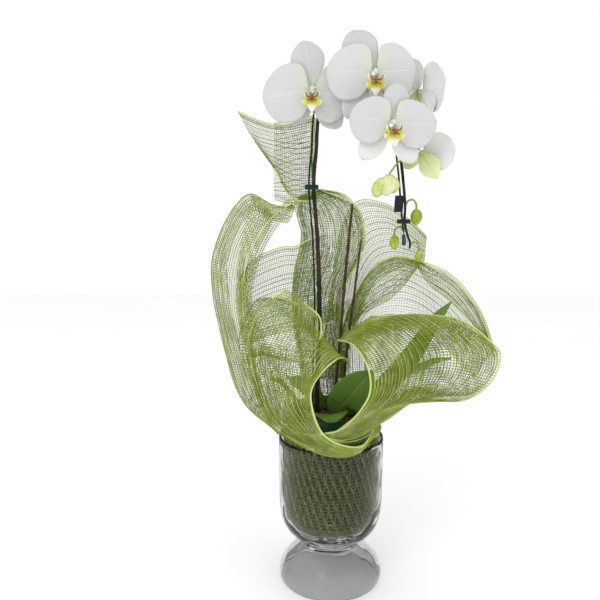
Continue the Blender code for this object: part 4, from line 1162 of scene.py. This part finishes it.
def makeSupports():
    newPiece("supportWire", tube(wireRoute, stems["wireRadii"], *stems["wireBuild"])[:2],
             newFinish("coatedWire", stems["wireLook"]), "support_wire")
    newPiece("wireCap", tube(capRoute, stems["capRadii"], *stems["capBuild"])[:2],
             newFinish("capRubber", stems["capLook"]), "wire_cap")
    stickFinish = newFinish("splitBamboo", stems["stickLook"])
    for name, (node, radius, route) in stickRoutes.items():
        radii = [radius * share for share in stems["stickTaper"]]
        newPiece(name, tube(route, radii, *stems["stickBuild"])[:2], stickFinish, node)


clip = {
    # centre, half length, half width, height
    "clips": {
        "clipLow": ("clip_low", (-0.0268, -0.0045, 0.527), 0.0074, 0.0052, 0.0060),
        "clipHigh": ("clip_high", (0.0812, -0.0628, 0.4845), 0.0066, 0.0060, 0.0050),
    },
    "wall": 0.0014, "steps": 40,
    # wall section with rounded corners, as shares of the wall and the height
    "section": ((0.0, -0.42), (0.0, 0.42), (0.2, 0.5), (0.8, 0.5), (1.0, 0.42), (1.0, -0.42), (0.8, -0.5),
                (0.2, -0.5)),
    "tabRadii": (0.0011, 0.0013, 0.0012), "tabReach": (0.0012, -0.0024), "tabPlace": 0.45,
    "look": {"colour": (0.006, 0.020, 0.022), "patch": (0.012, 0.040, 0.044), "scale": 150.0,
             "amount": 0.6, "roughness": 0.45, **fineGrain,
             "sockets": {"Specular IOR Level": 0.25}},
}


def makeClip(name, node, centre, halfLength, halfWidth, height, finish):
    verts = []
    for k in range(clip["steps"]):
        turn = math.tau * k / clip["steps"]
        for grow, level in clip["section"]:
            verts.append((centre[0] + (halfLength + clip["wall"] * grow) * math.cos(turn),
                          centre[1] + (halfWidth + clip["wall"] * grow) * math.sin(turn),
                          centre[2] + height * level))
    ids = np.arange(len(verts)).reshape(clip["steps"], -1)
    onward, after = np.roll(ids, -1, axis=0), np.roll(ids, -1, axis=1)
    faces = quads(ids, after, np.roll(onward, -1, axis=1), onward)
    lots = [(np.array(verts), faces)]
    # the pinched tabs that open it
    for side in (-1, 1):
        base = np.array((centre[0] + halfLength * clip["tabPlace"] * side,
                         centre[1] - halfWidth - clip["wall"] * 0.5, centre[2]))
        tip = base + np.array((clip["tabReach"][0] * side, clip["tabReach"][1], 0.0))
        lots.append(tube((base, (base + tip) / 2, tip), clip["tabRadii"], 10, 12)[:2])
    newPiece(name, joined(lots), finish, node)


tag = {
    "centre": (0.0735, -0.0735, 0.505), "size": (0.0100, 0.0030, 0.0190), "slant": 0.06, "edge": 0.94,
    # half thickness of the gap between its leaves, and how far the bend's shoulders are cut, as shares
    "gap": 0.42, "shoulder": 0.7, "drop": 0.3, "gapTop": (1.2, 0.75),
    "look": {"colour": (0.003, 0.004, 0.017), "patch": (0.006, 0.009, 0.030), "scale": 120.0,
             "amount": 0.6, "roughness": 0.42, **fineGrain},
}


def makeTag():
    # a folded tag: two leaves joined by a rounded bend at the top
    w, d, h = (v / 2 for v in tag["size"])
    gap, shoulder, drop, (low, high) = d * tag["gap"], d * tag["shoulder"], d * tag["drop"], tag["gapTop"]
    outline = [(-d, -h), (-d, h - d), (-shoulder, h - drop), (0, h), (shoulder, h - drop), (d, h - d),
               (d, -h), (gap, -h), (gap, h - d * low), (0, h - d * high), (-gap, h - d * low), (-gap, -h)]
    # its two ends are a little smaller, which rounds its edges
    verts = []
    for x, shrink in ((-1.0, tag["edge"]), (-0.94, 1.0), (0.94, 1.0), (1.0, tag["edge"])):
        for y, z in outline:
            verts.append((tag["centre"][0] + x * w + z * tag["slant"], tag["centre"][1] + y * shrink,
                          tag["centre"][2] + z * (shrink if z > 0 else 1.0)))
    n = len(outline)
    ids = np.arange(len(verts)).reshape(-1, n)
    after = np.roll(ids, -1, axis=1)
    faces = quads(ids[:-1], after[:-1], after[1:], ids[1:])
    halves = ((0, 1, 10, 11), (1, 2, 9, 10), (2, 3, 9), (3, 4, 9), (4, 5, 8, 9), (5, 6, 7, 8))
    faces += [face[::-1] for face in halves] + [tuple(i + 3 * n for i in face) for face in halves]
    newPiece("foldedTag", (verts, faces), newFinish("tagPlastic", tag["look"]), "tag_clip",
             smooth=False)


makeStems()
makeSupports()
clipFinish = newFinish("clipPlastic", clip["look"])
for clipName, clipShape in clip["clips"].items():
    makeClip(clipName, *clipShape, clipFinish)
makeTag()
print("spike and supports made")


# open flowers: centre, facing, size of the lip, then the tip and width of each part

flowers = {
    "flower1": (
        (-0.027, -0.045, 0.639), (-0.05, -1.0, -0.08), 1.0,
        ((-0.036, -0.047, 0.694), 0.04), ((-0.086, -0.043, 0.630), 0.066), ((0.018, -0.043, 0.626), 0.064),
        ((-0.052, -0.035, 0.604), 0.028), ((0.007, -0.040, 0.597), 0.032),
    ),
    "flower2": (
        (0.044, -0.066, 0.654), (0.05, -1.0, -0.1), 1.0,
        ((0.017, -0.062, 0.700), 0.042), ((-0.011, -0.064, 0.655), 0.062), ((0.092, -0.061, 0.657), 0.061),
        ((0.015, -0.062, 0.603), 0.034), ((0.063, -0.0625, 0.607), 0.034),
    ),
    "flower3": (
        (0.061, -0.095, 0.593), (0.1, -1.0, 0.02), 1.0,
        ((0.069, -0.092, 0.638), 0.029), ((0.014, -0.096, 0.601), 0.052), ((0.112, -0.088, 0.592), 0.053),
        ((0.028, -0.094, 0.556), 0.027), ((0.088, -0.089, 0.551), 0.028),
    ),
    "flower4": (
        (0.1035, -0.034, 0.6385), (0.83, 0.55, -0.05), 0.8,
        ((0.094, -0.029, 0.675), 0.032), ((0.0815, -0.001, 0.638), 0.044), ((0.126, -0.067, 0.643), 0.06),
        ((0.092, -0.016, 0.604), 0.026), ((0.1175, -0.055, 0.6095), 0.027),
    ),
    "flower5": (
        (0.102, -0.048, 0.567), (0.5, 0.82, -0.28), 0.62,
        ((0.096, -0.036, 0.602), 0.024), ((0.0745, -0.028, 0.583), 0.032),
        ((0.1385, -0.0705, 0.564), 0.048), ((0.0865, -0.050, 0.544), 0.02), ((0.120, -0.074, 0.533), 0.025),
    ),
}
# each part's node name and how far it lies off the flower's middle
petalParts = {
    "SepalTop": ("sepal_top", -0.0038), "PetalLeft": ("petal_left", 0.0004),
    "PetalRight": ("petal_right", 0.0004), "SepalLeft": ("sepal_left", -0.0060),
    "SepalRight": ("sepal_right", -0.0038),
}
greenSepals = ("flower4SepalLeft", "flower5SepalTop", "flower5SepalLeft", "flower5SepalRight")
# flowers and parts that take a lighter copy of the petal white, as painted light
litPetalParts = ("flower4", "flower5", "flower3SepalLeft", "flower3SepalRight")
petal = {
    # share of the length, share of the width
    "broad": ((0.0, 0.28), (0.08, 0.66), (0.18, 0.89), (0.32, 0.98), (0.48, 1.0), (0.64, 0.94), (0.79, 0.77),
              (0.90, 0.55), (0.96, 0.35), (1.0, 0.10)),
    "narrow": ((0.0, 0.28), (0.12, 0.46), (0.28, 0.72), (0.44, 0.92), (0.58, 1.0), (0.72, 0.94),
               (0.84, 0.75), (0.92, 0.53), (0.97, 0.34), (1.0, 0.10)),
    "pointed": ((0.0, 0.30), (0.12, 0.50), (0.28, 0.77), (0.42, 0.95), (0.56, 1.0), (0.70, 0.88),
                (0.82, 0.65), (0.91, 0.41), (0.97, 0.21), (1.0, 0.05)),
    "fan": 0.24, "rows": 34, "cols": 25, "thickness": 0.0009, "clear": 0.0030,
    "arch": 0.10, "droop": 0.05, "cup": 0.10, "lean": 0.03, "crowding": 1.5, "thinning": 0.5,
    "ruffle": 0.0011, "ruffleWaves": (9, 17), "swell": 0.0007, "swellWaves": (5, 2.2),
    "crease": 0.0007, "creaseHalf": 0.09, "seed": 40, "flowerStep": 10,
}
petalLook = {
    "colour": (0.635, 0.640, 0.636), "patch": (0.60, 0.607, 0.605), "scale": 25.0, "amount": 0.6,
    "roughness": 0.55, **fineGrain,
    "sockets": {"Specular IOR Level": 0.25, "Sheen Weight": 0.12, "Sheen Roughness": 0.4},
    "veinCount": 15.0, "midrib": 0.022, "veinStrength": 0.06, "veinColour": (0.57, 0.59, 0.56),
    "midribStrength": 0.5, "midribColour": (0.76, 0.77, 0.74), "footEnd": 0.26, "footStrength": 0.55,
    "footColour": (0.66, 0.71, 0.50), "midribHeight": 1.6, "veinHeight": 0.00025,
}
# sepals: the petal white darkened as painted shade
shadedSepalLook = {**petalLook, "colour": (0.595, 0.600, 0.592), "patch": (0.565, 0.570, 0.562)}
# the petal white made lighter, as painted light
litPetalLook = {**petalLook, "colour": (0.79, 0.795, 0.78), "patch": (0.75, 0.755, 0.74),
             "veinColour": (0.70, 0.72, 0.69), "midribColour": (0.86, 0.87, 0.84)}
greenSepalLook = {**petalLook, "colour": (0.80, 0.85, 0.44), "patch": (0.84, 0.87, 0.56),
                  "veinColour": (0.66, 0.74, 0.34), "veinStrength": 0.2, "midribColour": (0.50, 0.62, 0.18),
                  "midribStrength": 0.7, "footColour": (0.50, 0.62, 0.18), "footStrength": 0.8}


def makePetal(name, node, centre, facing, tip, width, kind, drop, finish, seed):
    dice = np.random.default_rng(seed)
    face = unit(np.array(facing, dtype=float))
    middle = np.array(centre)
    reach = np.array(tip) - middle
    length = np.linalg.norm(reach)
    ahead = reach / length
    side = unit(np.cross(face, ahead))
    s = 1 - (1 - np.linspace(0, 1, petal["rows"])) ** petal["crowding"]
    along = petal["clear"] + (length - petal["clear"]) * s
    ss, tt = np.meshgrid(s, np.linspace(-1, 1, petal["cols"]), indexing="ij")
    # the upper edge of a broad petal swells out sooner than its lower edge
    fan = petal["fan"] * np.sign(side[2]) if kind == "broad" else 0.0
    outline = spline(petal[kind], 90)
    half = 0.5 * width * np.interp(ss ** (1 - fan * tt), outline[:, 0], outline[:, 1])
    wide = half * tt
    lean = dice.uniform(-petal["lean"], petal["lean"]) * length * ss**2
    lift = petal["arch"] * length * ss * (1 - ss) - petal["droop"] * length * ss**2 + drop
    cup = -petal["cup"] * np.abs(wide) * np.abs(tt) * (0.4 + 0.6 * ss)
    p = dice.uniform(0, math.tau, 4)
    edge, (slow, quick) = np.sign(tt), petal["ruffleWaves"]
    ruffle = petal["ruffle"] * np.abs(tt) ** 2.5 * ss * (np.sin(ss * slow + p[0] + edge)
                                                          + 0.5 * np.sin(ss * quick + p[1] - 2 * edge))
    long, cross = petal["swellWaves"]
    swell = petal["swell"] * np.sin(ss * long + p[2]) * np.sin(tt * cross + p[3])
    crease = -petal["crease"] * np.exp(-(tt / petal["creaseHalf"]) ** 2) * (1 - ss)
    out = lift + cup + ruffle + swell + crease
    grid = (middle + ahead * along[:, None, None] + side * (wide + lean)[..., None] + face * out[..., None])
    thickness = petal["thickness"] * (1 - petal["thinning"] * np.abs(tt) ** 3)
    newPiece(name, sheetSolid(grid, thickness), finish, node)


# lip and column, in millimetres across, up and out from the flower's centre
lipLook = {
    "white": {"colour": (0.66, 0.66, 0.60), "patch": (0.70, 0.69, 0.54), "scale": 90.0, "amount": 0.6,
              "roughness": 0.42, **fineGrain},
    "yellow": {"colour": (0.66, 0.62, 0.04), "patch": (0.72, 0.70, 0.18), "scale": 160.0, "amount": 0.8,
               "roughness": 0.42, **fineGrain},
    "callus": {"colour": (0.42, 0.14, 0.025), "patch": (0.17, 0.024, 0.008), "scale": 420.0, "amount": 1.0,
               "roughness": 0.35, "bump": 0.0002, "grain": 900.0},
    # a lobe's colour toward its rim, where that starts and is full, its streaks and where they end
    "lobes": {
        "side": ((0.74, 0.74, 0.62), (0.62, 0.92), (0.30, 0.03, 0.012), 0.62),
        "middle": ((0.80, 0.80, 0.74), (0.30, 0.60), (0.34, 0.05, 0.015), 0.22),
    },
    "streakCount": 3.5, "streakWaver": 0.12, "streakRange": (0.1, 0.5), "streakFull": 0.02,
}


def striped(name, rimColour, rim, streakColour, streakEnd):
    # colour of a lip lobe: another colour toward its rim and dark streaks near its foot
    made, tree, shader, colour = mottled(name, lipLook["yellow"])
    lines = addNode(tree, "ShaderNodeGroup", node_tree=veins)
    feed(tree, lines, {"Count": lipLook["streakCount"], "Waver": lipLook["streakWaver"]})
    along = lines.outputs["Along"]
    streaks = ramp(tree, lines.outputs["Lines"], *lipLook["streakRange"])
    colour = mixNode(tree, ramp(tree, along, *rim), colour, rimColour)
    streak = mathNode(tree, "MULTIPLY", ramp(tree, along, streakEnd, lipLook["streakFull"]), streaks)
    feed(tree, shader, {"Base Color": mixNode(tree, streak, colour, streakColour)})
    return made


lipFinishes = {
    "column": newFinish("columnWhite", lipLook["white"]),
    "side": striped("sideLobe", *lipLook["lobes"]["side"]),
    "middle": striped("middleLobe", *lipLook["lobes"]["middle"]),
    "callus": newFinish("callus", lipLook["callus"]),
}


def lobe(route, widths, across, cup, rows=18, cols=13, thickness=0.8):
    # small blade along a route, cupped about its middle line
    line = spline(route, rows)
    wide = spline(np.array(widths)[:, None], rows)
    side, up = bladeAxes(line, across)
    t = np.linspace(-1, 1, cols)
    grid = (line[:, None] + side[:, None] * (wide * t)[..., None]
            + up[:, None] * (wide * cup * t**2)[..., None])
    return sheetSolid(grid, thickness)


def lipForms():
    parts = {
        "column": [tube(((0, 1.4, -2.5), (0, 1.4, 3.0), (0, 0.2, 7.0), (0, -3.2, 10.2)),
                        (2.4, 2.5, 3.0, 2.0), 20, 34)],
        "callus": [eggForm((0, -10.0, 11.2), (2.1, 3.4, 2.4), 12, 16)],
        "side": [],
        "middle": [],
    }
    for way in (-1, 1):
        # side lobes stand up either side of the column, like cupped hands
        parts["side"].append(lobe(
            ((0.8 * way, -11.0, 6.0), (4.2 * way, -13.0, 8.0), (8.0 * way, -11.4, 10.0),
             (9.6 * way, -7.6, 11.6), (8.6 * way, -3.6, 12.6)),
            (2.0, 4.0, 4.6, 3.6, 0.8), (0.25 * way, 0.45, -0.85), -0.26 * way))
        # yellow shoulders of the middle lobe
        parts["side"].append(lobe(
            ((0.6 * way, -13.6, 8.5), (4.0 * way, -15.4, 10.0), (8.2 * way, -15.8, 10.8),
             (11.6 * way, -13.6, 11.2)),
            (2.2, 4.0, 3.4, 0.8), (0.05 * way, 1.0, 0.25), 0.18))
        parts["callus"].append(tube(((1.2 * way, -8.6, 12.4), (3.8 * way, -9.6, 13.2),
                                     (6.4 * way, -7.6, 13.8), (7.4 * way, -4.4, 13.8)),
                                    (1.0, 0.85, 0.65, 0.35), 8, 18))
        parts["callus"].append(tube(((0.8 * way, -11.0, 12.8), (3.0 * way, -13.4, 13.2),
                                     (5.6 * way, -14.4, 12.8)), (0.9, 0.7, 0.3), 8, 14))
        # thin curled ends of the middle lobe
        parts["middle"].append(tube(((0.7 * way, -26.2, 11.5), (1.8 * way, -28.4, 12.2),
                                     (3.8 * way, -29.0, 11.0)), (0.5, 0.4, 0.22), 8, 16))
    parts["middle"].append(lobe(
        ((0, -12.0, 8.0), (0, -16.0, 10.0), (0, -20.0, 11.4), (0, -24.0, 12.0), (0, -27.4, 11.6)),
        (3.0, 7.4, 5.4, 2.8, 0.8), (1, 0, 0), 0.20))
    return {part: joined(lots) for part, lots in parts.items()}


def makeLip(name, node, centre, facing, size, forms):
    face = unit(np.array(facing, dtype=float))
    side = unit(np.cross(face, (0, 0, 1)))
    up = unit(np.cross(side, face))
    axes = np.stack([side, up, face]) * 0.001 * size
    for part, (verts, faces, uvs) in forms.items():
        newPiece(f"{name}Lip{part.capitalize()}", (np.array(centre) + verts @ axes, faces, uvs),
                 lipFinishes[part], node)


petalFinish = bladeFinish("petalWhite", petalLook)
shadedSepalFinish = bladeFinish("shadedSepalWhite", shadedSepalLook)
litPetalFinish = bladeFinish("clearWhite", litPetalLook)
greenSepalFinish = bladeFinish("greenSepal", greenSepalLook)


def makeFlowers():
    forms = lipForms()
    for order, (name, (centre, facing, lipSize, *shapes)) in enumerate(flowers.items()):
        node = "flower_" + name[-1]
        for k, ((part, (nodePart, drop)), (tip, width)) in enumerate(zip(petalParts.items(), shapes)):
            kind, finish = ("broad", petalFinish) if part.startswith("Petal") else ("narrow", shadedSepalFinish)
            if name in litPetalParts or name + part in litPetalParts:
                finish = litPetalFinish
            if name + part in greenSepals:
                kind, finish = "pointed", greenSepalFinish
            makePetal(name + part, f"{node}_{nodePart}", centre, facing, tip, width, kind, drop, finish,
                      petal["seed"] + petal["flowerStep"] * order + k)
        makeLip(name, node + "_lip", centre, facing, lipSize, forms)


makeFlowers()
print("flowers made")


# closed buds, and the one that is opening: centre and half sizes

buds = {
    "budUpper": ("bud_upper", (0.0965, -0.060, 0.4895), (0.0070, 0.0066, 0.0098)),
    "budMiddle": ("bud_middle", (0.0712, -0.0595, 0.4595), (0.0058, 0.0056, 0.0088)),
    "budLower": ("bud_lower", (0.1005, -0.060, 0.4430), (0.0045, 0.0044, 0.0072)),
}
openingSepals = (
    ((0.0500, -0.081, 0.5235), (0.0090, 0.0080, 0.0115), 2, (0.3, 0.0)),
    ((0.0630, -0.079, 0.5275), (0.0098, 0.0080, 0.0110), 2, (-0.2, 0.1)),
)
openingPetal = ((0.0590, -0.083, 0.5255), (0.0095, 0.0075, 0.0122), 2, (0.15, 0.15))
# a dark green with large lighter patches across each bud, painted shade and light; the pale and cream looks
# built from it keep that patching
budPaintedShadeLook = {
    "colour": (0.26, 0.34, 0.012), "patch": (0.47, 0.56, 0.07), "scale": 130.0, "amount": 0.9,
    "roughness": 0.42, **fineGrain,
    "veinCount": 9.0, "midrib": 0.03, "veinStrength": 0.22, "veinColour": (0.26, 0.38, 0.03),
    "midribStrength": 0.3, "midribColour": (0.30, 0.42, 0.03), "footEnd": 0.25, "footStrength": 0.5,
    "footColour": (0.28, 0.40, 0.04), "midribHeight": -1.0, "veinHeight": 0.0002,
}
paleBudLook = {**budPaintedShadeLook, "colour": (0.50, 0.57, 0.13), "patch": (0.68, 0.72, 0.34),
               "veinColour": (0.50, 0.60, 0.18), "footColour": (0.40, 0.52, 0.10)}
creamBudLook = {**paleBudLook, "colour": (0.66, 0.70, 0.31), "patch": (0.76, 0.79, 0.50),
                "veinColour": (0.58, 0.66, 0.27)}


bud = {"rows": 26, "cols": 36, "top": 0.90, "bulge": 0.20, "taper": 0.28, "groove": 0.15, "turn": 0.6}


def budForm(centre, sizes, ridges=3, tilt=(0.0, 0.0)):
    # wide above and narrow below, with grooves between its ridges
    def swell(s):
        return bud["top"] + bud["bulge"] * math.sin(math.pi * s) - bud["taper"] * s * s

    verts, faces, uvs = eggForm(centre, sizes, bud["rows"], bud["cols"], swell)
    rel = verts - np.array(centre)
    turn = np.arctan2(rel[:, 1], rel[:, 0])
    rel[:, :2] *= (1 - bud["groove"] * np.abs(np.sin(ridges * turn / 2 + bud["turn"])) ** 6)[:, None]
    rel[:, :2] += rel[:, 2:] * tilt
    return np.array(centre) + rel, faces, uvs


budFinish = bladeFinish("budGreenPaintedShade", budPaintedShadeLook)
for budName, (budNode, *budShape) in buds.items():
    newPiece(budName, budForm(*budShape), budFinish, budNode)
newPiece("openingSepals", joined([budForm(*sepal) for sepal in openingSepals]),
         bladeFinish("openingSepals", paleBudLook), "bud_half_open")
newPiece("openingPetal", budForm(*openingPetal), bladeFinish("openingPetal", creamBudLook),
         "bud_half_open")
print("buds made")
